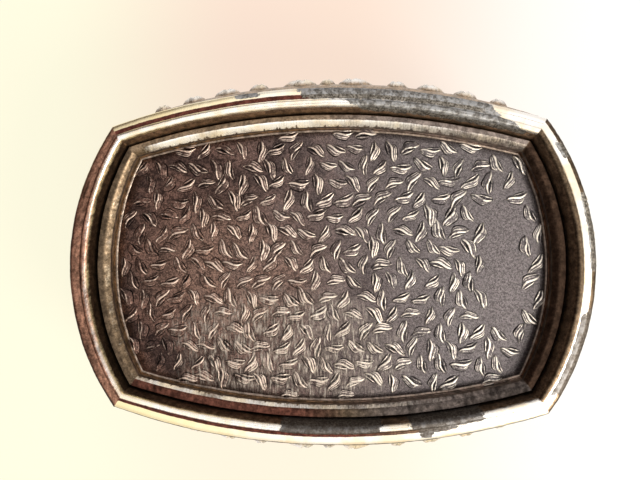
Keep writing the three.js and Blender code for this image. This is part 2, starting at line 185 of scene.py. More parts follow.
# Lining
CARD = 1.0
FLOOR_PAD = 2.2
WALL_PAD = 2.0
LINING_LEAN = 3.7
LINING_BELOW_RIM = 0.8
LID_PAD = 2.0
PAD_VOXEL = 0.8  # size of the pads' even mesh
PAD_SWELL = 1.0  # furthest that stuffing moves a pad's cloth
PAD_EASE = 0.08  # by which the cloth is cut larger than the pad, so that it puckers
PAD_EDGE = 4.5  # width of the rounding at a pad's edge
PAD_HELD = 0.4  # what lies this near the flat side stays on the card
CLOTH_SCALE = 10 * MM  # the pads are simulated ten times as large as life, which suits the solver
CLOTH_FRAMES = 20
CLOTH_STEPS = 5  # of the solver in each frame
CLOTH_PRESSURE = 4.0
CLOTH_BENDING = 0.2

# Stations round the outline for each piece
FOOT_STATIONS = 1000
WALL_STATIONS = 800
LID_STATIONS = 760
PAD_STATIONS = 420
PANEL_STATIONS = 300

# Other counts and steps of the meshes
CURVE_STEPS = 24
BLOCK_STEPS = 6  # in a quarter turn
RIPPLE_SINES = 8
HINGE_SPACING = 0.15
INNERMOST = 0.02  # scale of the smallest ring of a disc

# Leaves of the sunk panel
LEAF_PITCH = 3.9  # between neighbours
LEAF_LENGTH = 4.4
LEAF_STEM = 0.24  # half the width of its S
LEAF_ROWS = 11  # points along it
LEAF_MARGIN = 1.3  # kept free inside the panel's edge
LEAF_TURNS = 14  # directions tried for a leaf, of which the clearest is kept
LEAF_CLEAR = 1.0  # distance from other leaves that is far enough
LEAF_CLOSEST = 0.6
LEAF_SWING = 0.38  # of its S to either side
LEAF_GRID = (9, 13)  # rows and columns each way from the middle
BARE_STRIP = ((32.5, 39.3), (-12.6, 12.4))  # plain ground at the right of the panel

# The photograph's camera, which looks up at the box from below
CAMERA_PLACE = (5.31, -5.31, -101.51)
CAMERA_TURN = (0.04, 3.5, -0.2)  # degrees about X, Y and Z
CAMERA_FOCAL = 520  # pixels
FRAME_WIDTH = 640
SENSOR_WIDTH = 36.0
LAMP_AIM = (0, 0, 0.02)  # metres
STAGE_HALF = 1.5  # metres
TABLE_CLEAR = 0.0004  # metres from the top of the lid

# Places worked out from the sizes
land_outer = FOOT_ROUNDING + QUIRK / 2
land_inner = land_outer + LAND_WIDTH
recess_inset = land_inner + RING_DRAFT
plate_inset = recess_inset + GAP
plate_bottom = RING_DEPTH + GAP
ledge_bottom = plate_bottom + FLANGE_THICKNESS + GAP
plate_neck = plate_inset + FLANGE_WIDTH
ledge_inset = plate_neck - GAP
step_end = plate_inset + PLATE_STEP
panel_inset = step_end + OGEE_WIDTH
plate_top = PANEL_DEPTH + PANEL_THICKNESS
rim_opening = RIM_REACH - RIM_WIDTH
lid_bottom = BODY_HEIGHT + GAP
lid_shoulder = lid_bottom + LID_BEAD_HEIGHT
dome_reach = LID_BEAD_REACH - COVE_WIDTH
lid_opening = LID_BEAD_REACH - LID_RIM_WIDTH
dome_base = lid_shoulder + COVE_HEIGHT
hinge_y = FOOT_WIDTH / 2 + LID_BEAD_REACH + HINGE_BACKSET
hinge_z = (BODY_HEIGHT + lid_bottom) / 2
lip_reach = HINGE_BACKSET + KNUCKLE_RADIUS
board_top = plate_top + GAP + CARD
lining_bottom = board_top + GAP
lining_top = BODY_HEIGHT - LINING_BELOW_RIM


# Shapes: whole arrays of points, in millimetres

def side_arc(side, inset):
    """Chord, bulge, radius and half turn of a side of the outline that lies inset inside the foot's edge."""
    end_bulge = END_BULGE - END_FADE * inset
    side_bulge = SIDE_BULGE - SIDE_FADE * inset
    corner_x = FOOT_LENGTH / 2 - inset - end_bulge
    corner_y = FOOT_WIDTH / 2 - inset - side_bulge
    is_long = side % 2 == 1
    half = np.where(is_long, corner_x, corner_y)
    bulge = np.where(is_long, side_bulge, end_bulge)
    radius = (half ** 2 + bulge ** 2) / (2 * bulge)
    return np.where(is_long, corner_y, corner_x), bulge, radius, np.arcsin(half / radius)


def outline(side, share, inset):
    """A point of a side's arc: the arc of radius r through both corners, turned by the side's quarter turns.
    Also the way the wall faces there."""
    chord, bulge, radius, half_turn = side_arc(side, inset)
    turn = half_turn * share
    out = chord + bulge + radius * (np.cos(turn) - 1)
    along = radius * np.sin(turn)
    angle = side * np.pi / 2
    x = np.cos(angle) * out - np.sin(angle) * along
    y = np.sin(angle) * out + np.cos(angle) * along
    return x, y, angle + turn


def stations(count):
    """Side numbers and shares of the steps round the whole outline, about equally far apart."""
    long_count = int(count * 0.3)
    short_count = count // 2 - long_count
    parts = [(short_count, 0), (long_count, 1), (short_count, 2), (long_count, 3)]
    side = np.concatenate([np.full(n, k) for n, k in parts])
    share = np.concatenate([np.linspace(-1, 1, n, endpoint=False) for n, k in parts])
    return side, share


def walk(points, spacing):
    """Points of a bent line, about spacing apart, without the last."""
    points = np.array(points, float)
    length = np.concatenate([[0], np.cumsum(np.hypot(*np.diff(points, axis=0).T))])
    steps = np.linspace(0, length[-1], max(2, int(length[-1] / spacing) + 1))[:-1]
    return np.stack([np.interp(steps, length, points[:, k]) for k in (0, 1)], 1)


def curve(a, b, c, d):
    """A cubic Bezier line from a to d with b and c as its handles."""
    t = np.linspace(0, 1, CURVE_STEPS)[:, None]
    a, b, c, d = (np.array(p, float) for p in (a, b, c, d))
    return ((1 - t) ** 3 * a + 3 * (1 - t) ** 2 * t * b + 3 * (1 - t) * t ** 2 * c + t ** 3 * d).tolist()


def soften(profile, passes):
    """A closed profile whose corners are worn round: each pass moves a point halfway to the middle of its
    neighbours."""
    for _ in range(passes):
        profile = profile / 2 + (np.roll(profile, 1, 0) + np.roll(profile, -1, 0)) / 4
    return profile


def ripple(seed, *axes):
    """Slow waviness, mostly between -1 and 1: a sum of sines of random direction and phase over the axes."""
    draw = np.random.default_rng(seed)
    total = 0
    for _ in range(RIPPLE_SINES):
        weights = draw.normal(size=len(axes))
        total = total + np.sin(sum(w * a for w, a in zip(weights, axes)) + draw.uniform(0, 2 * np.pi))
    return total / RIPPLE_SINES ** 0.5 / 1.5


def smooth_step(x, low, high):
    """0 below low, 1 above high and an S between them."""
    t = np.clip((x - low) / (high - low), 0, 1)
    return t * t * (3 - 2 * t)


def stretch(x, start, end, soft):
    """1 between start and end and 0 outside, with soft ends."""
    return smooth_step(x, start - soft, start + soft) * (1 - smooth_step(x, end - soft, end + soft))


def grid_faces(rows, columns, wrap_rows, wrap_columns):
    """Four-sided faces of a grid of points, closed round either way on request."""
    i = np.arange(rows if wrap_rows else rows - 1)[:, None]
    j = np.arange(columns if wrap_columns else columns - 1)[None, :]
    up, right = (i + 1) % rows, (j + 1) % columns
    corners = [i * columns + j, i * columns + right, up * columns + right, up * columns + j]
    return np.stack([np.broadcast_to(c, (i.size, j.size)).ravel() for c in corners], 1)


def volume(points, faces):
    """Signed volume of a closed mesh: a sixth of the sum of triple products over its triangles."""
    total = 0.0
    for face_set in faces:
        if len(face_set):
            p = points[face_set]
            for k in range(1, face_set.shape[1] - 1):
                total += np.einsum("ij,ij->i", p[:, 0], np.cross(p[:, k], p[:, k + 1])).sum() / 6
    return total


def linked(name, data):
    """A new object of the scene."""
    thing = bpy.data.objects.new(name, data)
    bpy.context.scene.collection.objects.link(thing)
    return thing


def listed(faces):
    """Sets of faces as one list."""
    return [face for face_set in faces for face in face_set.tolist()]


def make(name, points, faces, material, body, slot, replaces=(), **marks):
    """A finished piece: points in millimetres and sets of faces, turned so that it faces out, on its body.

    Marks of the points are wear, 1 where the metal is rubbed bright, which on the foot, the plate's bead and
    the wall's lower leaves also paints highlights, and below 0 paints shade black in the grooves and round
    the edges of the panel's leaves, bare, 1 where its plate has gone, tone, the lightness of the dark patina,
    and warmth, 1 where that is maroon and -1 where it is grey; tone and warmth on the foot, the plate and the
    wall's lower side are partly painted reflection."""
    if volume(points, faces) < 0:
        faces = [f[:, ::-1] for f in faces]
    mesh = bpy.data.meshes.new(name)
    mesh.from_pydata((points * MM).tolist(), [], listed(faces))
    for label, values in marks.items():
        spread = np.broadcast_to(values, len(points)) if np.ndim(values) == 0 else np.ravel(values)
        mesh.attributes.new(label, "FLOAT", "POINT").data.foreach_set("value", spread.astype(np.float32))
    mesh.polygons.foreach_set("use_smooth", [True] * len(mesh.polygons))
    mesh.materials.append(material)
    piece = linked(name, mesh)
    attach(piece, body)
    if replaces:
        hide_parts(*replaces)
    return piece


def make_ring(name, points, material, node, **marks):
    """A finished piece of the box that is closed round both ways, from a grid of points."""
    faces = [grid_faces(points.shape[0], points.shape[1], True, True)]
    make(name, points.reshape(-1, 3), faces, material, "box", "antiqued_plate", [node], **marks)


def swept(profile, count, relief=None):
    """A ring swept round the outline: profile point i at station j is points[i, j], pushed out by the
    relief."""
    side, share = stations(count)
    inset = profile[:, :1] + np.zeros((1, count))
    z = profile[:, 1:2] + np.zeros((1, count))
    x, y, facing = outline(side[None, :], share[None, :], inset)
    if relief is not None:
        push = relief(side[None, :], share[None, :], inset, z)
        x = x + np.cos(facing) * push
        y = y + np.sin(facing) * push
    return np.stack([x, y, z], 2)


def domed(levels, count):
    """A disc of rings from (inset, z, scale) levels, whose first and last are closed by a fan to a middle
    point in with_poles.
    """
    side, share = stations(count)
    levels = np.array(levels, float)
    x, y, _ = outline(side[None, :], share[None, :], levels[:, :1] + np.zeros((1, count)))
    x, y = x * levels[:, 2:3], y * levels[:, 2:3]
    return np.stack([x, y, levels[:, 1:2] + np.zeros((1, count))], 2)


def with_poles(rings):
    """Points and faces of rings with a middle point added at either end."""
    rows, columns, _ = rings.shape
    points = rings.reshape(-1, 3)
    poles = np.stack([rings[0].mean(0), rings[-1].mean(0)])
    j = np.arange(columns)
    following = (j + 1) % columns
    first, last = points.shape[0], points.shape[0] + 1
    start = np.stack([np.full(columns, first), following, j], 1)
    base = (rows - 1) * columns
    end = np.stack([np.full(columns, last), base + j, base + following], 1)
    return np.concatenate([points, poles]), [grid_faces(rows, columns, False, True), start, end]


# Body

def foot_profile():
    """Section of the foot ring, from the land out, up the side and back down inside it, as (inset, z)."""
    rounding = curve((land_outer - QUIRK / 2, QUIRK), (FOOT_ROUNDING * 0.1, QUIRK),
                     (-FOOT_FULLNESS, FOOT_ROUNDING * 0.15), (-FOOT_FULLNESS / 2, FOOT_ROUNDING))
    waist = curve((-FOOT_FULLNESS / 2, FOOT_ROUNDING + FOOT_SIDE), (0, NECK_HEIGHT - 1),
                  (NECK_INSET, NECK_HEIGHT - 0.9), (NECK_INSET, NECK_HEIGHT))
    land = [(land_inner - FOOT_SHOULDER, 0), (land_outer, 0), (land_outer - QUIRK / 4, QUIRK)]
    seen = [*land, *rounding, *waist]
    hidden = [(NECK_INSET, NECK_HEIGHT), (NECK_INSET + WALL, plate_top), (ledge_inset, plate_top),
              (ledge_inset, ledge_bottom), (recess_inset, ledge_bottom)]
    shoulder = curve((recess_inset, RING_DEPTH), (land_inner + RING_DRAFT / 2, RING_DEPTH / 2),
                     (land_inner, FOOT_SHOULDER), (land_inner - FOOT_SHOULDER, 0))
    inner = [(recess_inset, ledge_bottom), *shoulder]
    profile = np.concatenate([walk(seen, 0.14), walk(hidden, 1.2), walk(inner, 0.16)])
    return soften(profile, 2)


def foot_relief(side, share, inset, z):
    """Unevenness of the cast foot: slow waves a few hundredths deep and small nicks on the outer edge."""
    along = side * 90 + share * 40
    slow = ripple(3, along * 0.35, z * 0.8, inset * 0.6) * SLOW_WAVES
    quick = ripple(4, along * 2.1, z * 2.0, inset * 2.0) * QUICK_NICKS
    return slow + quick


def along_side(points, side):
    """How far each point lies along its side from the side's middle: its y at the ends, or else its x."""
    return np.where(side % 2 == 0, points[:, :, 1], points[:, :, 0])


def bare_places(points, side, inset):
    """1 on the stretches of the foot that have lost their plate: each is a run along one side and a span
    across it, both with soft ends."""
    along = along_side(points, side)
    bare = np.zeros(along.shape)
    for place, start, end, low, high, lean in BARE_PLATE:
        moved = along - lean * (inset - low)
        patch = stretch(moved, start, end, 2.2) * stretch(inset, low, high, 0.35)
        bare = np.maximum(bare, (side == place) * patch)
    return bare


def wear_and_highlight_band(inset, side, table, soft=0.14):
    """How bright the band of each side is at an inset: partly wear, partly painted highlight."""
    start, end, level = (table[side, column] for column in range(3))
    return level * stretch(inset, start, end, soft)


def body_foot(material):
    """The foot ring: bands on its crown and its outer rounding, partly worn bright and partly painted
    highlight, with a dark line between them, and patina on the slope inside, whose lightness and warmth
    differ by side partly as painted reflection."""
    profile = foot_profile()
    points = swept(profile, FOOT_STATIONS, foot_relief)
    inset, z = profile[:, :1], profile[:, 1:]
    side, _ = stations(points.shape[1])
    side = side[None, :]
    x, y = points[:, :, 0], points[:, :, 1]
    low = 1 - smooth_step(z, FOOT_ROUNDING, FOOT_ROUNDING + 0.6)
    corner = (side == LEFT) * (smooth_step(np.abs(y), 12, 25) - 0.5)
    crown = wear_and_highlight_band(inset, side, CROWN_WEAR_AND_HIGHLIGHT, 0.2) * (1 + 0.4 * corner)
    wear = np.maximum(wear_and_highlight_band(inset, side, OUTER_WEAR_AND_HIGHLIGHT) * low, crown * (z < 1.2))
    # Painted highlight: the outer band and the crown's edge are brighter toward the right on the hinge side
    # and the front.
    closed = 0.62 * (side == HINGE_SIDE) * smooth_step(x, 14, 26)
    closed = closed + 0.9 * (side == FRONT) * smooth_step(x, 29, 33)
    wear = np.maximum(wear, closed * (inset > 1.5) * (inset < 2.95) * (z < 1.2))
    # Painted reflection of the table: a bright outer edge on the left toward the front.
    edge = 0.75 * (side == LEFT) * smooth_step(-y, 7, 20) * (1 - smooth_step(inset, 0.2, 0.7)) * low
    wear = np.maximum(wear, edge)
    inner = inset > land_inner - 0.2
    underside = 0.15 + 0.85 * smooth_step(inset - 0.5 * corner, 0.05, 0.5)
    patches = 0.4 * ripple(9, y * 0.5, inset * 3.5) + 0.3 * ripple(10, y * 2.2, inset * 7)
    patches = 1 + (side == LEFT) * patches
    # Tone and warmth per side: partly patina, partly painted reflection.
    tone = np.where(inner, SLOPE_TONE[side], OUTER_TONE[side] * underside * patches)
    east = smooth_step(x, 4, 16)
    warmth = np.where(inner, 0.1, OUTER_WARMTH[side] * (1 - 0.75 * east))
    bare = bare_places(points, side, inset)
    make_ring("foot_ring", points, material, "body", wear=wear, bare=bare, tone=tone, warmth=warmth)


def cast_leaf(across, up, width, length):
    """Height, from 0 to 1, of a leaf that is pointed at both ends: full on both sides of a sunk midrib, with
    lobes along its edge and slanting veins."""
    reach = np.clip(1 - (2 * up / length) ** 2, 0, 1)
    half = width / 2 * reach ** 0.65 * (1 + 0.1 * np.cos(2 * np.pi * up / LOBE_PITCH)) + 1e-6
    side = np.clip(1 - (across / half) ** 2, 0, 1)
    veins = 0.09 * np.cos(2 * np.pi * (up - 0.9 * np.abs(across)) / VEIN_PITCH)
    midrib = -0.32 * np.exp(-(across / 0.42) ** 2)
    full = side ** 0.45 * smooth_step(reach, 0, 0.1)
    return full * (0.91 + (veins + midrib) * smooth_step(side, 0.1, 0.6))


def frieze(side, share, z):
    """Height of the leaves round the belly."""
    height = np.zeros(np.broadcast_shapes(side.shape, share.shape, z.shape))
    _, _, radius, half_turn = side_arc(side, -BELLY_REACH)
    along = radius * half_turn * share
    for leaves, is_long in ((SIDE_LEAVES, 1), (END_LEAVES, 0)):
        for distance, width in leaves:
            for way in ((0,) if distance == 0 else (-1, 1)):
                a = along - way * distance
                b = z - BELLY_HEIGHT
                lean = way * LEAF_LEAN
                across = a * np.cos(lean) - b * np.sin(lean)
                up = a * np.sin(lean) + b * np.cos(lean)
                leaf = FRIEZE_DEPTH * cast_leaf(across, up, width, FRIEZE_LEAF_HEIGHT) * (side % 2 == is_long)
                height = np.maximum(height, leaf)
    return height


def wall_profile():
    """Section of the wall above the foot: belly, shoulder, rim bead and the inner side, as (inset, z)."""
    low = (BELLY_HEIGHT - NECK_HEIGHT) / 2
    shoulder = (-SHOULDER_REACH, BODY_HEIGHT - RIM_BEAD_HEIGHT)
    high = (shoulder[1] - BELLY_HEIGHT) / 2
    swell = curve((NECK_INSET, NECK_HEIGHT), (-BELLY_REACH / 3, NECK_HEIGHT + 0.9),
                  (-BELLY_REACH, BELLY_HEIGHT - low), (-BELLY_REACH, BELLY_HEIGHT))
    narrowing = curve((-BELLY_REACH, BELLY_HEIGHT), (-BELLY_REACH, BELLY_HEIGHT + high),
                      (shoulder[0], shoulder[1] - high / 2), shoulder)
    bead = curve((shoulder[0] - 0.6, shoulder[1] + 0.3), (-RIM_REACH, shoulder[1] + 0.3),
                 (-RIM_REACH - 0.3, BODY_HEIGHT - 0.3), (-RIM_REACH + 0.3, BODY_HEIGHT))
    inner_low = (BELLY_HEIGHT - plate_top) / 2
    inside = [(-rim_opening, BODY_HEIGHT), (-rim_opening, BODY_HEIGHT - RIM_BEAD_HEIGHT),
              *curve((WALL - BELLY_REACH, BELLY_HEIGHT), (WALL - BELLY_REACH, BELLY_HEIGHT - inner_low),
                     (NECK_INSET, plate_top + 1), (NECK_INSET + WALL, plate_top)),
              (NECK_INSET, NECK_HEIGHT)]
    outside = [*swell, *narrowing, *bead, (-rim_opening, BODY_HEIGHT)]
    return soften(np.concatenate([walk(outside, 0.3), walk(inside, 1.5)]), 1)


def wall_relief(side, share, inset, z):
    """The frieze on the outer side of the wall, and a fine unevenness of the ground between the leaves."""
    outer = inset < 0.6 - smooth_step(z, NECK_HEIGHT, BELLY_HEIGHT) * (BELLY_REACH - 1)
    zone = smooth_step(z, NECK_HEIGHT + 1, NECK_HEIGHT + 3)
    zone = zone * (1 - smooth_step(z, FRIEZE_TOP - 1.5, FRIEZE_TOP))
    ground = 0.05 * ripple(7, side * 90 + share * 120, z * 3)
    return outer * zone * (frieze(side, share, z) + ground)


def body_wall(material):
    """The wall: its leaves are worn brighter the higher they stand, and a painted highlight brightens them
    most of all on their lower side, where their patina is painted lighter and tan as a reflection of the
    table; the rim is worn bright too."""
    profile = wall_profile()
    points = swept(profile, WALL_STATIONS, wall_relief)
    plain = swept(profile, WALL_STATIONS)
    raised = np.hypot(*(points - plain)[:, :, :2].transpose(2, 0, 1)) / FRIEZE_DEPTH
    rim = smooth_step(profile[:, 1], BODY_HEIGHT - RIM_BEAD_HEIGHT, BODY_HEIGHT - 1)[:, None] * 0.6
    # below and cream mark the lower side of the belly: there a painted highlight brightens the leaves, and
    # the patina is painted lighter and tan as a reflection of the table.
    below = 1 - smooth_step(profile[:, 1:], BELLY_HEIGHT - 4, BELLY_HEIGHT + 1)
    cream = 1 - smooth_step(profile[:, 1:], BELLY_HEIGHT - 4.5, BELLY_HEIGHT - 2.5)
    wear = np.maximum(0.2 + (0.66 - 0.2 * below + 0.45 * cream) * raised, rim)
    tone = WALL_TONE + below * (0.2 + 0.6 * np.minimum(raised, 0.8))
    warmth = np.broadcast_to(0.7 * (below - 1), raised.shape)
    make_ring("wall", points, material, "body", wear=wear, tone=tone, warmth=warmth)


def lathe(middle, profile, count):
    """A closed profile of (radius, along) turned round the hinge's line at middle."""
    angle = np.linspace(0, 2 * np.pi, count, endpoint=False)[None, :]
    radius, along = profile[:, :1], profile[:, 1:2]
    x = middle[0] + along + np.zeros_like(angle)
    return np.stack([x, middle[1] + radius * np.cos(angle), middle[2] + radius * np.sin(angle)], 2)


def block(low, high, round_by):
    """A box with rounded edges: points of a sphere pushed out to the box's corners, shrunk by the rounding.
    The sphere is turned by a hair, so that each point lies toward one corner."""
    low, high = np.array(low, float), np.array(high, float)
    turn = np.linspace(0, 2 * np.pi, 4 * BLOCK_STEPS, endpoint=False)[None, :] + 1e-4
    rise = np.linspace(-np.pi / 2, np.pi / 2, 2 * BLOCK_STEPS)[:, None]
    way = np.stack([np.cos(rise) * np.cos(turn), np.cos(rise) * np.sin(turn),
                    np.sin(rise) + np.zeros_like(turn)], 2)
    corner = (high - low) / 2 - round_by
    return (low + high) / 2 + np.sign(way) * corner + way * round_by


def outline_y(inset, x):
    """The y of the outline's hinge side at x."""
    chord, bulge, radius, _ = side_arc(np.array(HINGE_SIDE), inset)
    return float(chord + bulge + math.sqrt(radius ** 2 - x * x) - radius)


def knuckle(name, middle_x, root, low, high, material, body, node):
    """One knuckle of a hinge: a bored barrel with a web to the wall or the lid."""
    half = KNUCKLE_LENGTH / 2
    bore = PIN_RADIUS + GAP
    section = [(bore, -half), (KNUCKLE_RADIUS, -half), (KNUCKLE_RADIUS, half), (bore, half), (bore, -half)]
    barrel = lathe((middle_x, hinge_y, hinge_z), soften(walk(section, HINGE_SPACING), 1), 48)
    web = block((middle_x - half, root, low), (middle_x + half, hinge_y - bore - 0.2, high), 0.2)
    web_points, web_faces = with_poles(web)
    rows, columns, _ = barrel.shape
    points = np.concatenate([barrel.reshape(-1, 3), web_points])
    faces = [grid_faces(rows, columns, True, True)] + [f + rows * columns for f in web_faces]
    make(name, points, faces, material, body, "antiqued_plate", [node], wear=0.5, tone=WALL_TONE)


def hinge_pin(name, middle_x, material):
    """A pin with a peened head at each end, turned from its half section."""
    half = (3 * KNUCKLE_LENGTH + 2 * GAP) / 2 + GAP
    end = half + PIN_HEAD
    section = [(0.02, -end), (PIN_HEAD_RADIUS * 0.7, -end), (PIN_HEAD_RADIUS, -half - PIN_HEAD / 2),
               (PIN_HEAD_RADIUS, -half), (PIN_RADIUS, -half), (PIN_RADIUS, half), (PIN_HEAD_RADIUS, half),
               (PIN_HEAD_RADIUS, half + PIN_HEAD / 2), (PIN_HEAD_RADIUS * 0.7, end), (0.02, end)]
    rings = lathe((middle_x, hinge_y, hinge_z), walk(section, HINGE_SPACING), 40)
    points, faces = with_poles(rings)
    make(name, points, faces, material, "box", "pin_metal", [name])


# Base plate

def plate_ring_profile():
    """Section of the base plate's border, as (inset, z): the fillet beside the panel, the moulding, the flat
    step, the flange and back over the top side."""
    field = panel_inset + 0.8
    line = PANEL_DEPTH - PANEL_FILLET
    fillet = [(field, PANEL_DEPTH + PANEL_SLAB), (field, PANEL_DEPTH), (panel_inset + 0.45, line),
              (panel_inset + 0.25, line), (panel_inset, PANEL_DEPTH + PANEL_GROOVE)]
    slope = curve((panel_inset + 0.15, plate_bottom + BEAD_FALL),
                  (panel_inset - 0.3, plate_bottom + BEAD_FALL * 0.6),
                  (step_end + OGEE_WIDTH * 0.4, plate_bottom + 0.3), (step_end, plate_bottom + 0.15))
    seen = [*fillet, *slope, (plate_inset, plate_bottom)]
    flange = plate_bottom + FLANGE_THICKNESS
    hidden = [(plate_inset, plate_bottom), (plate_inset, flange), (plate_neck, flange),
              (plate_neck, plate_top), (field, plate_top), (field, PANEL_DEPTH + PANEL_SLAB)]
    return soften(np.concatenate([walk(seen, 0.12), walk(hidden, 0.8)]), 1)


def base_plate(material):
    """The border of the plate: its bead is bright on the long sides, partly worn and partly painted
    highlight, with a frayed inner edge, less so at the left and not at all at the right; its tones per side
    are partly painted reflection."""
    profile = plate_ring_profile()
    points = swept(profile, FOOT_STATIONS, foot_relief)
    inset, z = profile[:, :1], profile[:, 1:]
    side, _ = stations(points.shape[1])
    side = side[None, :]
    west = -points[:, :, 0] / (FOOT_LENGTH / 2)
    along = along_side(points, side)
    fray = BEAD_RAG[side] * np.maximum(0, ripple(12, along * 3.4) + 0.5 * ripple(13, along * 8))
    bead_end = plate_bottom + BEAD_FALL
    on_bead = (inset > step_end + BEAD_START[side]) & (z < bead_end)
    rim = np.exp(-((inset - plate_inset) / 0.16) ** 2) * (z < plate_bottom + 0.3)
    # The bead's brightness per side and its rise toward the left, and the light fillet at the left, are
    # partly wear and partly painted highlight.
    wear = np.where(on_bead, BEAD_WEAR_AND_HIGHLIGHT[side] + np.minimum(0.14, 0.5 * west) * (side % 2), 0.4 * rim)
    wear = wear * (1 - smooth_step(z + fray, bead_end - 0.15, bead_end + 0.05))
    faded = (side == FRONT) * (1 - smooth_step(points[:, :, 0], -40, -31))
    wear = wear * (1 - 0.75 * faded) * (1 - 0.3 * np.clip(ripple(15, along * 0.6), 0, 1))
    fillet = inset > panel_inset + 0.1
    wear = np.where(fillet, 0.18 * (side == LEFT), wear)
    deep = (z >= bead_end) | fillet
    tone = np.where(deep, EDGE_TONE[side] * np.where(fillet, 0.7, 1.2),
                    np.where(on_bead, BEAD_TONE[side], STEP_TONE[side]))
    streaks = 0.75 * (side == HINGE_SIDE) * np.clip(ripple(14, along * 1.7, inset * 0.8), 0, 1)
    tone = tone * np.where(deep, 1.0, 1 - streaks)
    east = smooth_step(-west, -0.15, 0.3) * (side % 2)
    warmth = 0.85 * (side == HINGE_SIDE) * ~on_bead * ~deep * (1 - east) + 0.3 * (side == RIGHT) - 0.85 * east
    warmth = np.where(fillet, -0.6, warmth)
    make_ring("base_plate_moulding", points, material, "base_plate", wear=wear, tone=tone, warmth=warmth)


def leaf_panel(material):
    """The sunk panel as a thin closed slab whose edge lies under the fillet."""
    field = panel_inset + 0.5
    levels = [(field, PANEL_DEPTH, s) for s in np.linspace(INNERMOST, 1, 20)]
    levels += [(field, PANEL_DEPTH + PANEL_SLAB, s) for s in np.linspace(1, INNERMOST, 4)]
    points, faces = with_poles(domed(levels, PANEL_STATIONS))
    make("base_plate_panel", points, faces, material, "box", "antiqued_plate", ["base_plate"], wear=0.1)


def inside_panel(x, y, margin):
    """Whether places lie inside the panel's edge by a margin."""
    inside = np.ones(x.shape, bool)
    for side in range(4):
        chord, bulge, radius, _ = side_arc(np.array(side), panel_inset + margin)
        angle = side * np.pi / 2
        out = np.cos(angle) * x + np.sin(angle) * y
        along = -np.sin(angle) * x + np.cos(angle) * y
        inside &= out < chord + bulge + np.sqrt(radius ** 2 - along ** 2) - radius
    return inside


def leaf_spine(along):
    """The S of a leaf's middle ridge: a sine wave that starts a little before the middle."""
    return LEAF_SWING * np.sin(1.25 * (along + 0.35))


def leaf_places():
    """Middles, turns and sizes of the panel's leaves: rows set half a pitch apart, each leaf moved at random
    and turned to the first of several random directions that keeps it clear of its neighbours, or else to the
    clearest."""
    draw = np.random.default_rng(21)
    row, column = np.meshgrid(*(np.arange(-n, n + 1) for n in LEAF_GRID), indexing="ij")
    x = ((column + 0.5 * (row % 2)) * LEAF_PITCH + draw.uniform(-0.5, 0.5, row.shape)).ravel()
    y = (row * LEAF_PITCH * 0.87 + draw.uniform(-0.45, 0.45, row.shape)).ravel()
    (left, right), (low, high) = BARE_STRIP
    size = draw.uniform(0.88, 1.08, x.shape)
    steps = np.linspace(-0.5, 0.5, 7) * LEAF_LENGTH
    taken = np.zeros((0, 2))
    kept = []
    for k in range(len(x)):
        turns = draw.uniform(0, 2 * np.pi, LEAF_TURNS)[:, None]
        shape = leaf_spine(steps)[None, :] + 0.15
        px = x[k] + size[k] * (np.cos(turns) * steps - np.sin(turns) * shape)
        py = y[k] + size[k] * (np.sin(turns) * steps + np.cos(turns) * shape)
        fits = inside_panel(px, py, LEAF_MARGIN - 0.6).all(1)
        bare = (px > left) & (px < right) & (py > low) & (py < high)
        fits &= ~bare.any(1)
        if not fits.any():
            continue
        reach = np.full(LEAF_TURNS, 9.0)
        if len(taken):
            apart = np.hypot(px[:, :, None] - taken[:, 0], py[:, :, None] - taken[:, 1])
            reach = apart.min((1, 2))
        reach = np.where(fits, reach, -1)
        clear = reach > LEAF_CLEAR
        best = int(np.argmax(clear if clear.any() else reach))
        if reach[best] > LEAF_CLOSEST:
            taken = np.concatenate([taken, np.stack([px[best], py[best]], 1)])
            kept.append((x[k], y[k], float(turns[best, 0]), size[k]))
    return np.array(kept).T


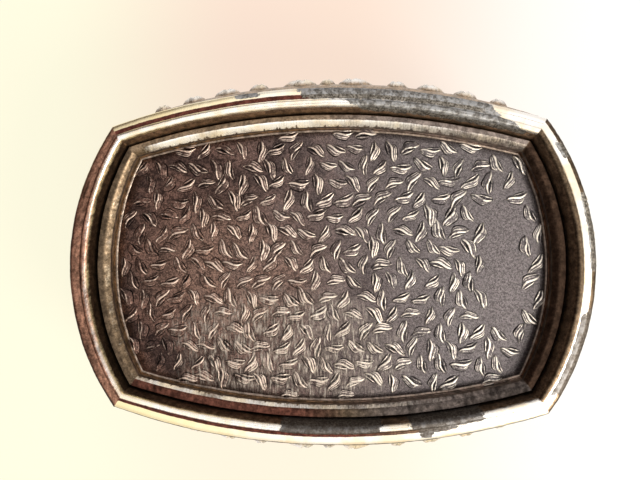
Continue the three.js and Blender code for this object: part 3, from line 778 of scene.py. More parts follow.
def panel_leaves(material):
    """All the leaves as one piece. Each is a patch of points: a full S from tip to tip, a thin crescent
    beyond a deep groove on one side of it and two softer ridges on the other. Its ridges are worn bright, its
    grooves and both outer edges get painted shade, and the leaves are dimmer toward the left, partly staining
    and partly painted reflection."""
    x, y, turn, size = (a[:, None, None] for a in leaf_places())
    count = len(x)
    draw = np.random.default_rng(22)
    each = (count, 1, 1)
    s = np.linspace(-1, 1, LEAF_ROWS)[None, :, None]
    along = s * LEAF_LENGTH / 2
    taper = np.sqrt(1 - 0.94 * s ** 2)
    stem = LEAF_STEM * (0.3 + 0.7 * taper) * (1 + 0.35 * draw.uniform(-1, 1, each) * s)
    head = draw.uniform(0.8, 1.2, each) * np.clip(1 - ((s - 0.34) / 0.6) ** 2, 0, 1) ** 0.5
    tail = draw.uniform(0.8, 1.3, each) * np.clip(1 - ((s + 0.24) / 0.72) ** 2, 0, 1) ** 0.5
    lines = [-stem - 0.8 * head - 0.2, -stem - 0.52 * head - 0.03, -stem - 0.2 * head - 0.02, -0.5 * stem,
             0.5 * stem, stem + 0.16 * tail + 0.01, stem + 0.4 * tail + 0.03, stem + 0.56 * tail + 0.04,
             stem + 0.78 * tail + 0.06, stem + tail + 0.24]
    full = 0.3 + 0.7 * taper
    soft = tail ** 0.5
    rises = [0 * s, 0.36 * head, -0.02 + 0 * s, 0.5 * full, 0.48 * full, 0.3 * full * (tail > 0.2),
             0.38 * soft, 0.24 * soft, 0.3 * soft, 0 * s]
    # Level of each line of points: high on the worn ridges, below 0 where shade is painted in the grooves and
    # along the outer edges.
    wears = [-0.9, 0.95, -1.25, 1.15, 1.0, -0.1, 0.92, -0.08, 0.86, -1.0]
    shape = (count, LEAF_ROWS, 1)
    across = np.concatenate([np.broadcast_to(line, shape) for line in lines], 2) + leaf_spine(along)
    height = np.concatenate([np.broadcast_to(rise, shape) for rise in rises], 2)
    height = height * draw.uniform(0.8, 1.1, each)
    # dim: leaves dimmer toward the left, partly staining and partly painted reflection.
    dim = 0.55 + 0.45 * smooth_step(x + draw.uniform(-8, 8, x.shape), -42, -16)
    share = np.where(np.array(wears) > 0, draw.uniform(0.6, 1.1, (count, 1, len(wears))) * dim, 1.0)
    wear = np.array(wears) * share + np.zeros_like(across)
    px = x + size * (np.cos(turn) * along - np.sin(turn) * across)
    py = y + size * (np.sin(turn) * along + np.cos(turn) * across)
    points = np.stack([px, py, PANEL_DEPTH + 0.05 - height], 3)
    rows, columns = LEAF_ROWS, len(wears)
    rim = np.concatenate([np.arange(columns), columns * np.arange(1, rows) + columns - 1,
                          (rows - 1) * columns + np.arange(columns - 2, -1, -1),
                          columns * np.arange(rows - 2, 0, -1)])
    starts = np.arange(count) * rows * columns
    patch = (grid_faces(rows, columns, False, False)[None] + starts[:, None, None]).reshape(-1, 4)
    back = rim[None, ::-1] + starts[:, None]
    make("panel_leaves", points.reshape(-1, 3), [patch, back], material, "box", "antiqued_plate", wear=wear)


# Lid

def dome_z(scale):
    """Height of the dome over a share of the way out from its middle: a parabola."""
    return dome_base + DOME_RISE * (1 - scale ** 2)


def dome_relief(x, y):
    """Ornament of the dome: fans of leaves, a leaf to each corner, and an oval medallion with a corded
    edge."""
    height = np.zeros_like(x)

    def lay(side, share, scale, size, lean):
        """Adds a leaf that points outwards, at a share of a side and a scale of the way out."""
        nonlocal height
        width, depth, length = size
        px, py, _ = outline(np.array(side), np.array(share), -dome_reach)
        px, py = px * scale, py * scale
        facing = math.atan2(py, px) + lean
        out = (x - px) * math.cos(facing) + (y - py) * math.sin(facing)
        across = -(x - px) * math.sin(facing) + (y - py) * math.cos(facing)
        height = np.maximum(height, depth * cast_leaf(across, out, width, length))

    for side in range(4):
        _, _, radius, half_turn = side_arc(np.array(side), -dome_reach)
        for way in (-1, 0, 1):
            share = way * LID_FAN_PITCH / float(radius * half_turn)
            lay(side, share, LID_FAN_SCALE, LID_FAN_LEAF, -way * LEAF_LEAN)
        lay(side, 1.0, LID_CORNER_SCALE, LID_CORNER_LEAF, 0.0)
    oval = np.hypot(x / (MEDALLION_LENGTH / 2), y / (MEDALLION_WIDTH / 2))
    angle = np.arctan2(y / MEDALLION_WIDTH, x / MEDALLION_LENGTH)
    field = 1 - smooth_step(oval, 0.97, 1.0)
    cord = np.exp(-((oval - 0.92) / 0.035) ** 2) * (0.5 + 0.5 * np.cos(angle * 64 + oval * 40))
    petals = np.maximum(0, 1 - oval / 0.62) ** 0.5 * (0.55 + 0.45 * np.cos(angle * 8))
    ground = MEDALLION_RISE * 0.55
    figure = np.maximum(cord, petals * smooth_step(oval, 0, 0.05))
    medallion = field * (ground + (MEDALLION_RISE - ground) * figure)
    return np.where(oval < 1, np.maximum(medallion, 0), height)


def lid_shell(material):
    """The lid: rings from under the dome, round the bead and the cove of the rim, and over the dome, which is
    lifted by its relief. What stands high is worn bright."""
    edge = -LID_BEAD_REACH
    third = LID_BEAD_HEIGHT / 3
    bead = [(-lid_opening, lid_bottom), (-RIM_REACH, lid_bottom),
            *curve((edge + GAP, lid_bottom + GAP), (edge, lid_bottom + third), (edge, lid_shoulder - third),
                   (edge + third, lid_shoulder)),
            *curve((edge + third + GAP, lid_shoulder), (-dome_reach - COVE_WIDTH / 4, lid_shoulder),
                   (-dome_reach, dome_base - COVE_HEIGHT / 2), (-dome_reach, dome_base))]
    inner = [(-lid_opening, dome_z(s) - LID_WALL, s) for s in np.linspace(INNERMOST, 0.96, 8)]
    inner += [(-lid_opening, dome_base - LID_WALL, 1.0)]
    rim = [(inset, z, 1.0) for inset, z in walk(bead, 0.22)]
    scales = np.linspace(1, INNERMOST, 78)
    dome = [(-dome_reach, dome_z(s), s) for s in scales]
    levels = np.array(inner + rim + dome, float)
    rings = domed(levels, LID_STATIONS)
    relief = dome_relief(rings[:, :, 0], rings[:, :, 1])
    on_dome = np.arange(len(levels))[:, None] >= len(inner) + len(rim)
    relief = np.where(on_dome, relief, 0)
    rings[:, :, 2] += relief
    in_rim = (np.arange(len(levels)) >= len(inner)) & (levels[:, 2] == 1)
    wear = np.where(in_rim[:, None], 0.62, 0.14 + 0.55 * relief / LID_CORNER_LEAF[1])
    points, faces = with_poles(rings)
    wear = np.concatenate([wear.ravel(), [0, 0.5]])
    make("lid_shell", points, faces, material, "lid", "antiqued_plate", ["lid"],
         wear=wear, tone=LID_TONE, warmth=LID_WARMTH)


def thumb_lip(material):
    """A rounded tongue at the front of the lid's rim: sections across it shrink along a quarter of an
    ellipse."""
    front = -FOOT_WIDTH / 2 - LID_BEAD_REACH
    out = np.sin(np.linspace(-0.9, np.pi / 2 - 0.06, 26))[:, None]
    y = front - lip_reach * out
    half_width = LIP_WIDTH / 2 * np.sqrt(np.clip(1 - np.maximum(out, 0) ** 2.4, 0, 1))
    half_thick = LIP_THICKNESS / 2 * np.clip(1 - 0.35 * np.maximum(out, 0) ** 2, 0.1, 1)
    turn = np.linspace(0, 2 * np.pi, 56, endpoint=False)[None, :]
    square = (np.abs(np.cos(turn)) ** 4 + np.abs(np.sin(turn)) ** 4) ** -0.25
    x = half_width * np.cos(turn) * square
    z = lid_bottom + GAP + LIP_THICKNESS / 2 + half_thick * np.sin(turn) * square
    rings = np.stack([x, y + np.zeros_like(x), z], 2)
    points, faces = with_poles(rings)
    make("thumb_lip", points, faces, material, "lid", "antiqued_plate", ["lid"],
         wear=0.75, tone=LID_TONE, warmth=LID_WARMTH)


# Lining

def lining_inset(z):
    """Inset of the wall linings' outer face, which leans out towards the rim."""
    return GAP - rim_opening + LINING_LEAN * (lining_top - z) / (lining_top - lining_bottom)


def points_of(mesh):
    """A mesh's points as an array."""
    places = np.zeros(len(mesh.vertices) * 3, np.float32)
    mesh.vertices.foreach_get("co", places)
    return places.reshape(-1, 3).astype(float)


def swelled(points, faces, flat_z):
    """Points and faces of a pad whose cloth has been blown up by simulation on an even mesh. Its flat side is
    held to the card, and a point's movement levels off below PAD_SWELL."""
    scene = bpy.context.scene
    mesh = bpy.data.meshes.new("pad_start")
    mesh.from_pydata((points * CLOTH_SCALE).tolist(), [], listed(faces))
    pad = linked("pad_start", mesh)
    even = pad.modifiers.new("even", "REMESH")
    even.mode = "VOXEL"
    even.voxel_size = PAD_VOXEL * CLOTH_SCALE
    remeshed = bpy.data.meshes.new_from_object(pad.evaluated_get(bpy.context.evaluated_depsgraph_get()))
    pad.modifiers.clear()
    pad.data = remeshed
    start = points_of(remeshed) / CLOTH_SCALE
    corners = np.zeros(len(remeshed.loops), np.int32)
    remeshed.loops.foreach_get("vertex_index", corners)
    held = np.flatnonzero(np.abs(start[:, 2] - flat_z) < PAD_HELD)
    pad.vertex_groups.new(name="held").add(held.tolist(), 1.0, "REPLACE")
    cloth = pad.modifiers.new("cloth", "CLOTH").settings
    cloth.quality = CLOTH_STEPS
    cloth.vertex_group_mass = "held"
    cloth.use_pressure = True
    cloth.uniform_pressure_force = CLOTH_PRESSURE
    cloth.shrink_min = -PAD_EASE
    cloth.bending_stiffness = CLOTH_BENDING
    cloth.effector_weights.gravity = 0.0
    for number in range(1, CLOTH_FRAMES + 1):
        scene.frame_set(number)
    move = points_of(pad.evaluated_get(bpy.context.evaluated_depsgraph_get()).data) / CLOTH_SCALE - start
    scene.frame_set(1)
    bpy.data.objects.remove(pad)
    length = np.linalg.norm(move, axis=1, keepdims=True) + 1e-9
    return start + move / length * PAD_SWELL * np.tanh(length / PAD_SWELL), [corners.reshape(-1, 4)]


def cushion(name, inset, flat_z, height, way, material, body, node):
    """A crowned cushion on a card: its edge is a quarter of an ellipse over a low side, its top is a flat
    parabola with slow puckers, and its cloth is stuffed."""
    foot = inset + GAP / 2
    turn = np.linspace(0, np.pi / 2, 14)
    edge = [(foot, 0.0)]
    edge += [(inset + PAD_EDGE * (1 - math.cos(t)), 0.3 * height + 0.55 * height * math.sin(t)) for t in turn]
    levels = [(foot, 0.0, s) for s in np.linspace(INNERMOST, 0.96, 6)]
    levels += [(i, h, 1.0) for i, h in edge]
    last = edge[-1]
    crown = np.linspace(0.99, INNERMOST, 60)
    levels += [(last[0], last[1] + 0.15 * height * (1 - s ** 2), s) for s in crown]
    rings = domed(levels, PAD_STATIONS)
    x, y = rings[:, :, 0], rings[:, :, 1]
    lift = rings[:, :, 2]
    puckers = 0.06 * ripple(31, x * 0.35, y * 0.35) * smooth_step(lift, 0.5 * height, height)
    rings[:, :, 2] = flat_z + way * np.clip(lift + puckers, 0, height)
    points, faces = with_poles(rings)
    points, faces = swelled(points, faces, flat_z)
    piece = make(name, points, faces, material, body, "velvet", [node])
    finer = piece.modifiers.new("finer", "SUBSURF")
    finer.levels = 1
    finer.render_levels = 1


def wall_lining(side, name, material):
    """A padded card along one side: a closed section of a flat back and a crowned front, carried along the
    arc."""
    section = [(0, lining_bottom), (WALL_PAD - 0.4, lining_bottom), (WALL_PAD, lining_bottom + 0.5)]
    heights = np.linspace(lining_bottom + 0.5, lining_top - 0.6, 30)
    middle, half = (lining_bottom + lining_top) / 2, (lining_top - lining_bottom) / 2
    section += [(WALL_PAD + 0.35 * (1 - ((h - middle) / half) ** 2), h) for h in heights]
    section += [(WALL_PAD - 0.1, lining_top - 0.15), (WALL_PAD - 0.5, lining_top), (0, lining_top),
                (0, lining_bottom)]
    depth_z = walk(section, 0.6)
    share = np.linspace(-1, 1, 150)[None, :]
    z = depth_z[:, 1:2] + np.zeros_like(share)
    inset = lining_inset(z) + depth_z[:, :1]
    _, _, radius, half_turn = side_arc(np.array(side), inset)
    short = 1 - GAP / (radius * half_turn)
    front = depth_z[:, :1] > WALL_PAD - 0.2
    folds = 0.05 * ripple(41 + side, share * 14 + np.zeros_like(z), z * 0.12) * front
    x, y, _ = outline(np.array(side), share * short, inset + folds)
    grid = np.stack([x, y, z], 2)
    rows, columns, _ = grid.shape
    ends = [np.arange(rows)[None, ::-1] * columns, np.arange(rows)[None, :] * columns + columns - 1]
    faces = [grid_faces(rows, columns, True, False), *ends]
    piece = make(f"{name}_pad", grid.reshape(-1, 3), faces, material, "box", "velvet", [name])


# Materials

def tint(red, green, blue):
    """A colour given as it is seen on a screen, from 0 to 255, as the numbers that a shader needs."""
    shares = np.array([red, green, blue]) / 255
    linear = np.where(shares <= 0.04045, shares / 12.92, ((shares + 0.055) / 1.055) ** 2.4)
    return (*linear.tolist(), 1.0)


class Nodes:
    """A material's or world's tree, written one call for each node."""

    def __init__(self, tree):
        self.tree = tree

    def add(self, kind, *inputs, output=0, **settings):
        """An output of a new node with these inputs and settings."""
        made = self.tree.nodes.new(kind)
        for key, value in settings.items():
            setattr(made, key, value)
        for socket, value in zip(made.inputs, inputs):
            self.put(socket, value)
        return made.outputs[output]

    def put(self, socket, value):
        """Links a node's output to a socket, or sets the socket to a plain value."""
        if isinstance(value, bpy.types.NodeSocket):
            self.tree.links.new(value, socket)
        elif value is not None:
            socket.default_value = value

    def show(self, shader, kind="ShaderNodeOutputMaterial"):
        """Ends the tree with a shader."""
        self.put(self.tree.nodes.new(kind).inputs[0], shader)

    def mark(self, name):
        """A mark of the mesh's points."""
        return self.add("ShaderNodeAttribute", attribute_name=name, output=2)

    def parts(self, vector):
        """The x, y and z of a vector."""
        split = self.tree.nodes.new("ShaderNodeSeparateXYZ")
        self.put(split.inputs[0], vector)
        return split.outputs

    def math(self, operation, *inputs):
        """The result of a math node."""
        return self.add("ShaderNodeMath", *inputs, operation=operation)

    def plus(self, *inputs):
        return self.math("ADD", *inputs)

    def times(self, *inputs):
        return self.math("MULTIPLY", *inputs)

    def line(self, value, slope, start):
        """A straight line: value times slope plus start."""
        return self.math("MULTIPLY_ADD", value, slope, start)

    def swing(self, value, size):
        """A noise that swings size times as far round 0 as it did round 0.5."""
        return self.times(self.math("SUBTRACT", value, 0.5), size)

    def between(self, value, low, high, to_low=0.0, to_high=1.0):
        """A value spread from low..high to to_low..to_high with soft ends."""
        limits = (low, high, to_low, to_high)
        return self.add("ShaderNodeMapRange", value, *limits, interpolation_type="SMOOTHSTEP")

    def mix(self, share, a, b):
        """Colour b over colour a by a share."""
        made = self.tree.nodes.new("ShaderNodeMix")
        made.data_type = "RGBA"
        for index, value in ((0, share), (6, a), (7, b)):
            self.put(made.inputs[index], value)
        return made.outputs[2]

    def noise(self, place, scale, detail=2.0, rough=0.5):
        """Soft random values round 0.5, of which scale fit into a millimetre."""
        return self.add("ShaderNodeTexNoise", place, None, scale, detail, rough)

    def scaled(self, place, x, y, z):
        """A place with its x, y and z multiplied."""
        return self.add("ShaderNodeVectorMath", place, (x, y, z), operation="MULTIPLY")

    def bump(self, strength, depth, height):
        """Unevenness with a depth in millimetres."""
        return self.add("ShaderNodeBump", strength, depth * MM, None, height)


def new_material(name):
    """An empty material and its tree."""
    material = bpy.data.materials.new(name)
    material.use_nodes = True
    material.node_tree.nodes.clear()
    return material, Nodes(material.node_tree)


def principled(nodes, values):
    """Ends a tree with the usual shader, whose inputs are given by name."""
    shader = nodes.tree.nodes.new("ShaderNodeBsdfPrincipled")
    for key, value in values.items():
        nodes.put(shader.inputs[key], value)
    nodes.show(shader.outputs[0])


def place_in_mm(nodes):
    """Place on the object, in millimetres."""
    coordinates = nodes.add("ShaderNodeTexCoord", output=3)
    return nodes.scaled(coordinates, 1 / MM, 1 / MM, 1 / MM)


def region(nodes, place, middle, size):
    """1 inside an ellipse round a middle point and 0 outside, with a soft edge, in millimetres."""
    moved = nodes.add("ShaderNodeVectorMath", place, (*middle, 0), operation="SUBTRACT")
    shrunk = nodes.scaled(moved, 1 / size[0], 1 / size[1], 0)
    reach = nodes.add("ShaderNodeVectorMath", shrunk, operation="LENGTH", output=1)
    return nodes.between(reach, 1 - REGION_SOFT, 1 + REGION_SOFT, 1.0, 0.0)


def antiqued_plate():
    """Silver plate worn bright where the wear mark is high, which on the foot is partly a painted highlight,
    and a dark patina below it; grey matt where the plate has gone, at places on the foot. Fine scratches run
    across the box, and the foot's outer rounding has a painted gold reflection toward the left."""
    material, nodes = new_material("antiqued_plate_finish")
    place = place_in_mm(nodes)
    x, y, z = nodes.parts(place)
    wear, bare, tone, warmth = (nodes.mark(name) for name in ("wear", "bare", "tone", "warmth"))
    blotch = nodes.noise(place, 0.16, 3.0, 0.6)
    speck = nodes.noise(place, 2.6, 3.0, 0.7)
    grain = nodes.noise(place, 8.0, 2.0, 0.6)
    straight = nodes.noise(nodes.scaled(place, 3.4, 0.35, 0.6), 1.0, 3.0, 0.65)
    turned = nodes.add("ShaderNodeMapping", place, None, (0.0, 0.0, 0.6), (0.5, 3.2, 1.0),
                       vector_type="TEXTURE")
    slanting = nodes.noise(turned, 1.0, 3.0, 0.65)
    scratch = nodes.mix(nodes.between(x, -42.0, -38.0, 1.0, 0.0), straight, slanting)
    uneven = nodes.plus(nodes.swing(speck, 0.3), nodes.swing(blotch, 0.5))
    uneven = nodes.plus(uneven, nodes.swing(scratch, 0.5))
    # worn: bright where the wear mark is high, partly real wear and partly painted highlight.
    worn = nodes.between(nodes.plus(wear, uneven), 0.18, 0.76)
    ragged = nodes.line(nodes.noise(place, 0.7, 5.0, 0.7), 1.6, -0.8)
    lost = nodes.between(nodes.plus(bare, ragged), 0.42, 0.56)
    depth = nodes.times(nodes.math("MAXIMUM", tone, 0.08), nodes.between(speck, 0.3, 0.7, 0.6, 1.3))
    mottle = nodes.noise(place, 0.8, 4.0, 0.65)
    depth = nodes.times(depth, nodes.between(mottle, 0.34, 0.66, 0.6, 1.45))
    # The patina's colour and lightness follow the warmth and tone marks, partly patina and partly painted
    # reflection.
    patina = nodes.mix(warmth, tint(202, 174, 142), tint(200, 122, 104))
    patina = nodes.mix(nodes.times(warmth, -1.0), patina, tint(192, 178, 172))
    dark = nodes.mix(depth, tint(10, 7, 6), patina)
    bright = nodes.mix(nodes.between(blotch, 0.42, 0.62), tint(252, 249, 242), tint(246, 232, 206))
    # Painted reflection of the warm table: a gold tint on the foot's outer rounding toward the left.
    rounding = nodes.times(nodes.between(z, 0.2, 0.4), nodes.between(z, 2.5, 2.7, 1.0, 0.0))
    painted_gold_reflection = nodes.times(nodes.between(x, -34.0, 4.0, 0.8, 0.0), rounding)
    bright = nodes.mix(painted_gold_reflection, bright, tint(250, 232, 176))
    matt = nodes.mix(nodes.between(speck, 0.36, 0.64), tint(72, 67, 59), tint(156, 150, 141))
    matt = nodes.mix(nodes.between(mottle, 0.38, 0.6, 0.5, 0.0), matt, tint(48, 44, 40))
    shine = nodes.times(worn, nodes.between(mottle, 0.4, 0.62, 0.1, 0.6))
    matt = nodes.mix(shine, matt, tint(182, 184, 186))
    matt = nodes.mix(nodes.between(y, -12.0, 12.0, 0.0, 0.65), matt, tint(64, 56, 50))
    colour = nodes.mix(lost, nodes.mix(worn, dark, bright), matt)
    smooth = nodes.line(worn, -0.16, 0.4)
    rough = nodes.plus(smooth, nodes.times(lost, 0.25))
    height = nodes.plus(nodes.times(speck, nodes.line(lost, 1.2, 0.3)), nodes.times(grain, 0.25))
    height = nodes.plus(height, nodes.times(scratch, 0.25))
    bump = nodes.bump(0.5, 0.06, height)
    principled(nodes, {"Base Color": colour, "Metallic": 1.0, "Roughness": rough, "Normal": bump})
    return material


def panel_finish():
    """The sunk panel: leaf ridges worn bright and broken up by noise as a painted highlight, painted shade
    nearly black in the grooves and round the leaves' edges, a grained dark ground that is warmer at the left,
    partly staining and partly painted reflection, and a rubbed place at the lower left with scratches across
    it."""
    material, nodes = new_material("panel_finish")
    place = place_in_mm(nodes)
    wear = nodes.mark("wear")
    blotch = nodes.noise(place, 0.14, 3.0, 0.6)
    speck = nodes.noise(place, 2.2, 3.0, 0.75)
    grain = nodes.noise(place, 5.5, 3.0, 0.8)
    scratch = nodes.noise(nodes.scaled(place, 1.9, 0.35, 1.0), 1.0, 4.0, 0.72)
    # right: share of the cool right; the warmer left of the ground and of the ridges is partly staining and
    # partly painted reflection.
    right = nodes.between(nodes.plus(nodes.swing(blotch, 44.0), nodes.parts(place)[0]), -34.0, 30.0)
    soft = region(nodes, place, (-9, 18), (22, 12))
    spot = nodes.between(nodes.plus(soft, nodes.swing(blotch, 1.0)), 0.15, 0.8)
    rubbed = nodes.times(spot, nodes.between(scratch, 0.42, 0.62))
    uneven = nodes.swing(speck, 0.6)
    # broken: noise that breaks the ridges' brightness along their length, a painted highlight.
    broken = nodes.between(nodes.noise(place, 0.8, 2.0, 0.6), 0.32, 0.66, 0.6, 1.4)
    level = nodes.plus(nodes.line(wear, broken, uneven), nodes.times(rubbed, 0.4))
    worn = nodes.between(level, 0.38, 0.85)
    warm = nodes.mix(nodes.between(blotch, 0.4, 0.62), tint(96, 76, 70), tint(156, 121, 108))
    warm = nodes.mix(region(nodes, place, (-19, 1), (18, 12)), warm, tint(172, 138, 122))
    warm = nodes.mix(nodes.between(speck, 0.44, 0.62, 0.5, 0.0), warm, tint(30, 24, 24))
    cool = nodes.mix(nodes.between(speck, 0.34, 0.66), tint(90, 84, 86), tint(126, 120, 120))
    ground = nodes.mix(right, warm, cool)
    pit = nodes.mix(0.74, ground, tint(18, 14, 14))
    ground = nodes.mix(nodes.between(grain, 0.38, 0.6), pit, ground)
    mottle = nodes.noise(place, 1.1, 4.0, 0.7)
    hollow = nodes.between(mottle, 0.36, 0.56, 0.62, 0.0)
    hollow = nodes.times(hollow, nodes.between(right, 0.0, 0.8, 1.0, 0.2))
    ground = nodes.mix(hollow, ground, tint(26, 20, 19))
    # Painted shade: nearly black where the mark is below 0, in the leaves' grooves and round their edges.
    ground = nodes.mix(nodes.between(wear, -0.25, 0.0), tint(8, 6, 6), ground)
    ridge = nodes.mix(right, tint(216, 194, 178), tint(222, 214, 202))
    smear = nodes.mix(nodes.between(scratch, 0.5, 0.8), tint(142, 132, 122), tint(230, 224, 212))
    colour = nodes.mix(nodes.times(rubbed, 0.6), nodes.mix(worn, ground, ridge), smear)
    rough = nodes.line(worn, -0.14, 0.44)
    height = nodes.plus(nodes.times(grain, 0.9), nodes.times(speck, 0.25))
    height = nodes.plus(height, nodes.times(nodes.times(rubbed, scratch), 0.8))
    bump = nodes.bump(0.8, 0.16, height)
    principled(nodes, {"Base Color": colour, "Metallic": 0.95, "Roughness": rough, "Normal": bump})
    return material


def pin_finish():
    """Drawn steel with fine lines along the pin."""
    material, nodes = new_material("pin_finish")
    place = place_in_mm(nodes)
    drawn = nodes.noise(nodes.scaled(place, 0.3, 6.0, 6.0), 1.0, 2.0)
    colour = nodes.mix(drawn, tint(120, 114, 106), tint(196, 190, 180))
    rough = nodes.line(drawn, 0.2, 0.22)
    principled(nodes, {"Base Color": colour, "Metallic": 1.0, "Roughness": rough})
    return material


def card_finish():
    """Grey-brown card with level fibres."""
    material, nodes = new_material("card_finish")
    place = place_in_mm(nodes)
    fibre = nodes.noise(nodes.scaled(place, 1.0, 1.0, 4.0), 1.4, 4.0, 0.7)
    colour = nodes.mix(fibre, tint(150, 134, 104), tint(196, 180, 148))
    bump = nodes.bump(0.4, 0.1, fibre)
    principled(nodes, {"Base Color": colour, "Roughness": 0.9, "Normal": bump})
    return material


def velvet_finish():
    """Short-pile velvet: the pile's lean changes slowly over the cloth, and a sheen lights its edges."""
    material, nodes = new_material("velvet_finish")
    place = place_in_mm(nodes)
    lean = nodes.noise(place, 0.13, 3.0, 0.6)
    pile = nodes.noise(place, 5.0, 2.0, 0.7)
    rubbed = nodes.between(nodes.noise(place, 0.5, 2.0), 0.45, 0.7)
    colour = nodes.mix(nodes.between(lean, 0.24, 0.76), tint(88, 15, 27), tint(126, 27, 41))
    colour = nodes.mix(nodes.times(rubbed, 0.15), colour, tint(150, 60, 66))
    bump = nodes.bump(0.8, 0.12, pile)
    principled(nodes, {"Base Color": colour, "Roughness": 0.95, "Sheen Weight": 0.5, "Sheen Roughness": 0.4,
                       "Sheen Tint": tint(255, 190, 190), "Specular IOR Level": 0.2, "Normal": bump})
    return material


# Stage

def one_sided(name, front):
    """A stage material that shows only to rays that meet its front."""
    material, nodes = new_material(name)
    back = nodes.add("ShaderNodeNewGeometry", output=6)
    clear = nodes.add("ShaderNodeBsdfTransparent")
    shown = nodes.add("ShaderNodeMixShader", back, front(nodes), clear)
    nodes.show(shown)
    return material


def plane(name, z, faces_up, material):
    """A wide level sheet of the stage, which lights and mirrors nothing."""
    half = STAGE_HALF
    corners = [(-half, -half, z), (half, -half, z), (half, half, z), (-half, half, z)]
    mesh = bpy.data.meshes.new(name)
    mesh.from_pydata(corners, [], [(0, 1, 2, 3) if faces_up else (3, 2, 1, 0)])
    mesh.materials.append(material)
    sheet = linked(name, mesh)
    for ray in ("diffuse", "glossy", "transmission", "shadow"):
        setattr(sheet, "visible_" + ray, False)


def pale_floor(nodes):
    """The floor that the box stands on."""
    return nodes.add("ShaderNodeBsdfDiffuse", tint(236, 230, 222))


def pale_table(nodes):
    """The surface that the upturned box lies on, which mostly glows instead of being lit: cream at the left,
    pinkish in the middle, white at the right."""
    place = place_in_mm(nodes)
    x, y, _ = nodes.parts(place)
    middle = nodes.between(x, -85.0, -20.0)
    right = nodes.between(x, 0.0, 80.0)
    down = nodes.between(y, -60.0, 20.0)
    centre = nodes.mix(down, tint(250, 227, 210), tint(253, 240, 220))
    colour = nodes.mix(middle, tint(254, 251, 226), centre)
    colour = nodes.mix(right, colour, tint(255, 254, 250))
    glow = nodes.add("ShaderNodeEmission", colour, 1.0)
    lit = nodes.add("ShaderNodeBsdfDiffuse", colour)
    return nodes.add("ShaderNodeMixShader", 0.12, glow, lit)


def room():
    """The light of the room as the metal sees it: a pale table above, and below it a white ceiling that turns
    cream towards the right and the hinge side, dark red-brown towards the left and the front, and dark
    straight down, where the camera is."""
    world = bpy.data.worlds.new("room")
    world.use_nodes = True
    world.node_tree.nodes.clear()
    nodes = Nodes(world.node_tree)
    way = nodes.add("ShaderNodeTexCoord", output=0)
    x, y, z = nodes.parts(way)
    cream = nodes.between(nodes.plus(x, y), 0.2, 1.2)
    shade = nodes.line(y, -0.25, nodes.times(x, -0.95))
    below_left = nodes.times(nodes.between(shade, 0.3, 0.75), nodes.between(z, 0.0, 0.12, 1.0, 0.0))
    left = nodes.between(nodes.times(x, -1.0), 0.62, 0.9)
    far_left = nodes.times(left, nodes.between(z, 0.3, 0.55, 1.0, 0.0))
    dark = nodes.math("MAXIMUM", below_left, far_left)
    camera = nodes.between(z, -0.997, -0.98, 1.0, 0.0)
    colour = nodes.mix(cream, tint(252, 248, 246), tint(255, 244, 222))
    colour = nodes.mix(nodes.times(dark, 0.92), colour, tint(58, 26, 24))
    colour = nodes.mix(nodes.times(camera, 0.75), colour, tint(58, 44, 42))
    seen = nodes.add("ShaderNodeLightPath", output=0)
    colour = nodes.mix(seen, colour, tint(252, 248, 242))
    ceiling = nodes.times(nodes.between(z, -0.62, -0.8), nodes.between(z, -0.995, -0.975))
    level = nodes.line(nodes.times(ceiling, nodes.math("SUBTRACT", 1.0, seen)), 0.35, 1.0)
    light = nodes.add("ShaderNodeBackground", colour, level)
    nodes.show(light, "ShaderNodeOutputWorld")
    bpy.context.scene.world = world


def lamp(name, place, size, power, colour):
    """A square soft lamp that faces the middle of the box."""
    data = bpy.data.lights.new(name, "AREA")
    data.size = size
    data.energy = power
    data.color = colour
    back = np.array(place) - np.array(LAMP_AIM)
    back = back / np.linalg.norm(back)
    side = np.cross((0, 0, 1), back)
    side = side / np.linalg.norm(side)
    up = np.cross(back, side)
    aim = Matrix((side, up, back)).transposed()
    linked(name, data).matrix_world = Matrix.Translation(place) @ aim.to_4x4()


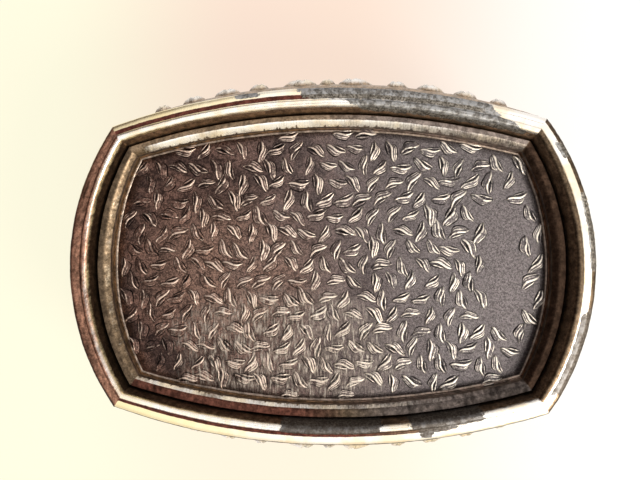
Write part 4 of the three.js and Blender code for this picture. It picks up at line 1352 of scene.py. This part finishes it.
def photo_camera():
    """The photograph's camera: right, down and forward are the rows of its turn about Z, X and Y."""
    about_x, about_y, about_z = (math.radians(a) for a in CAMERA_TURN)
    turn = (Matrix.Rotation(about_z, 3, "Z") @ Matrix.Rotation(about_x, 3, "X")
            @ Matrix.Rotation(about_y, 3, "Y"))
    right, down, forward = turn[0], turn[1], turn[2]
    data = bpy.data.cameras.new("photo_camera")
    data.sensor_width = SENSOR_WIDTH
    data.lens = CAMERA_FOCAL / FRAME_WIDTH * SENSOR_WIDTH
    data.clip_start = 0.005
    data.clip_end = 20
    camera = linked("photo_camera", data)
    aim = Matrix((right, -down, -forward)).transposed()
    camera.matrix_world = Matrix.Translation([c * MM for c in CAMERA_PLACE]) @ aim.to_4x4()
    bpy.context.scene.camera = camera


# The whole scene
bpy.context.scene.view_settings.view_transform = "Standard"
photo_camera()
room()
lamp("key_low", (0.22, 0.16, -0.22), 0.12, 1.6, (1.0, 0.96, 0.9))
lamp("key_high", (0.12, 0.1, 0.6), 0.3, 2.0, (1.0, 0.98, 0.95))
plane("floor", 0.0, True, one_sided("floor_finish", pale_floor))
plane("table", cad_box[1][2] + TABLE_CLEAR, False, one_sided("table_finish", pale_table))

plate = antiqued_plate()
panel = panel_finish()
pin = pin_finish()
card = card_finish()
velvet = velvet_finish()

body_foot(plate)
body_wall(plate)
base_plate(plate)
leaf_panel(panel)
panel_leaves(panel)
lid_shell(plate)
thumb_lip(plate)
for place, name in ((-HINGE_PLACE, "left"), (HINGE_PLACE, "right")):
    hinge_pin("hinge_pin_" + name, place, pin)
    for way, end in ((-1, "outer"), (1, "inner")):
        x = place + way * (KNUCKLE_LENGTH + GAP)
        root = outline_y(-SHOULDER_REACH, x)
        low = hinge_z - KNUCKLE_RADIUS + GAP
        knuckle(f"lug_{name}_{end}", x, root, low, BODY_HEIGHT, plate, "box", "body")
    root = outline_y(-dome_reach, place)
    high = hinge_z + KNUCKLE_RADIUS - GAP
    knuckle(f"lid_lug_{name}", place, root, lid_bottom, high, plate, "lid", "lid")
for name in ("floor_board", "lid_board"):
    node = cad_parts[name]
    node.data.materials.clear()
    node.data.materials.append(card)
pad_inset = lining_inset(lining_bottom) + WALL_PAD + GAP
cushion("floor_cushion", pad_inset, lining_bottom, FLOOR_PAD, 1, velvet, "box", "floor_pad")
lid_pad_top = dome_base - LID_WALL - GAP - CARD - GAP
cushion("lid_cushion", GAP - lid_opening, lid_pad_top, LID_PAD, -1, velvet, "lid", "lid_pad")
for side, name in enumerate(("lining_right", "lining_back", "lining_left", "lining_front")):
    wall_lining(side, name, velvet)
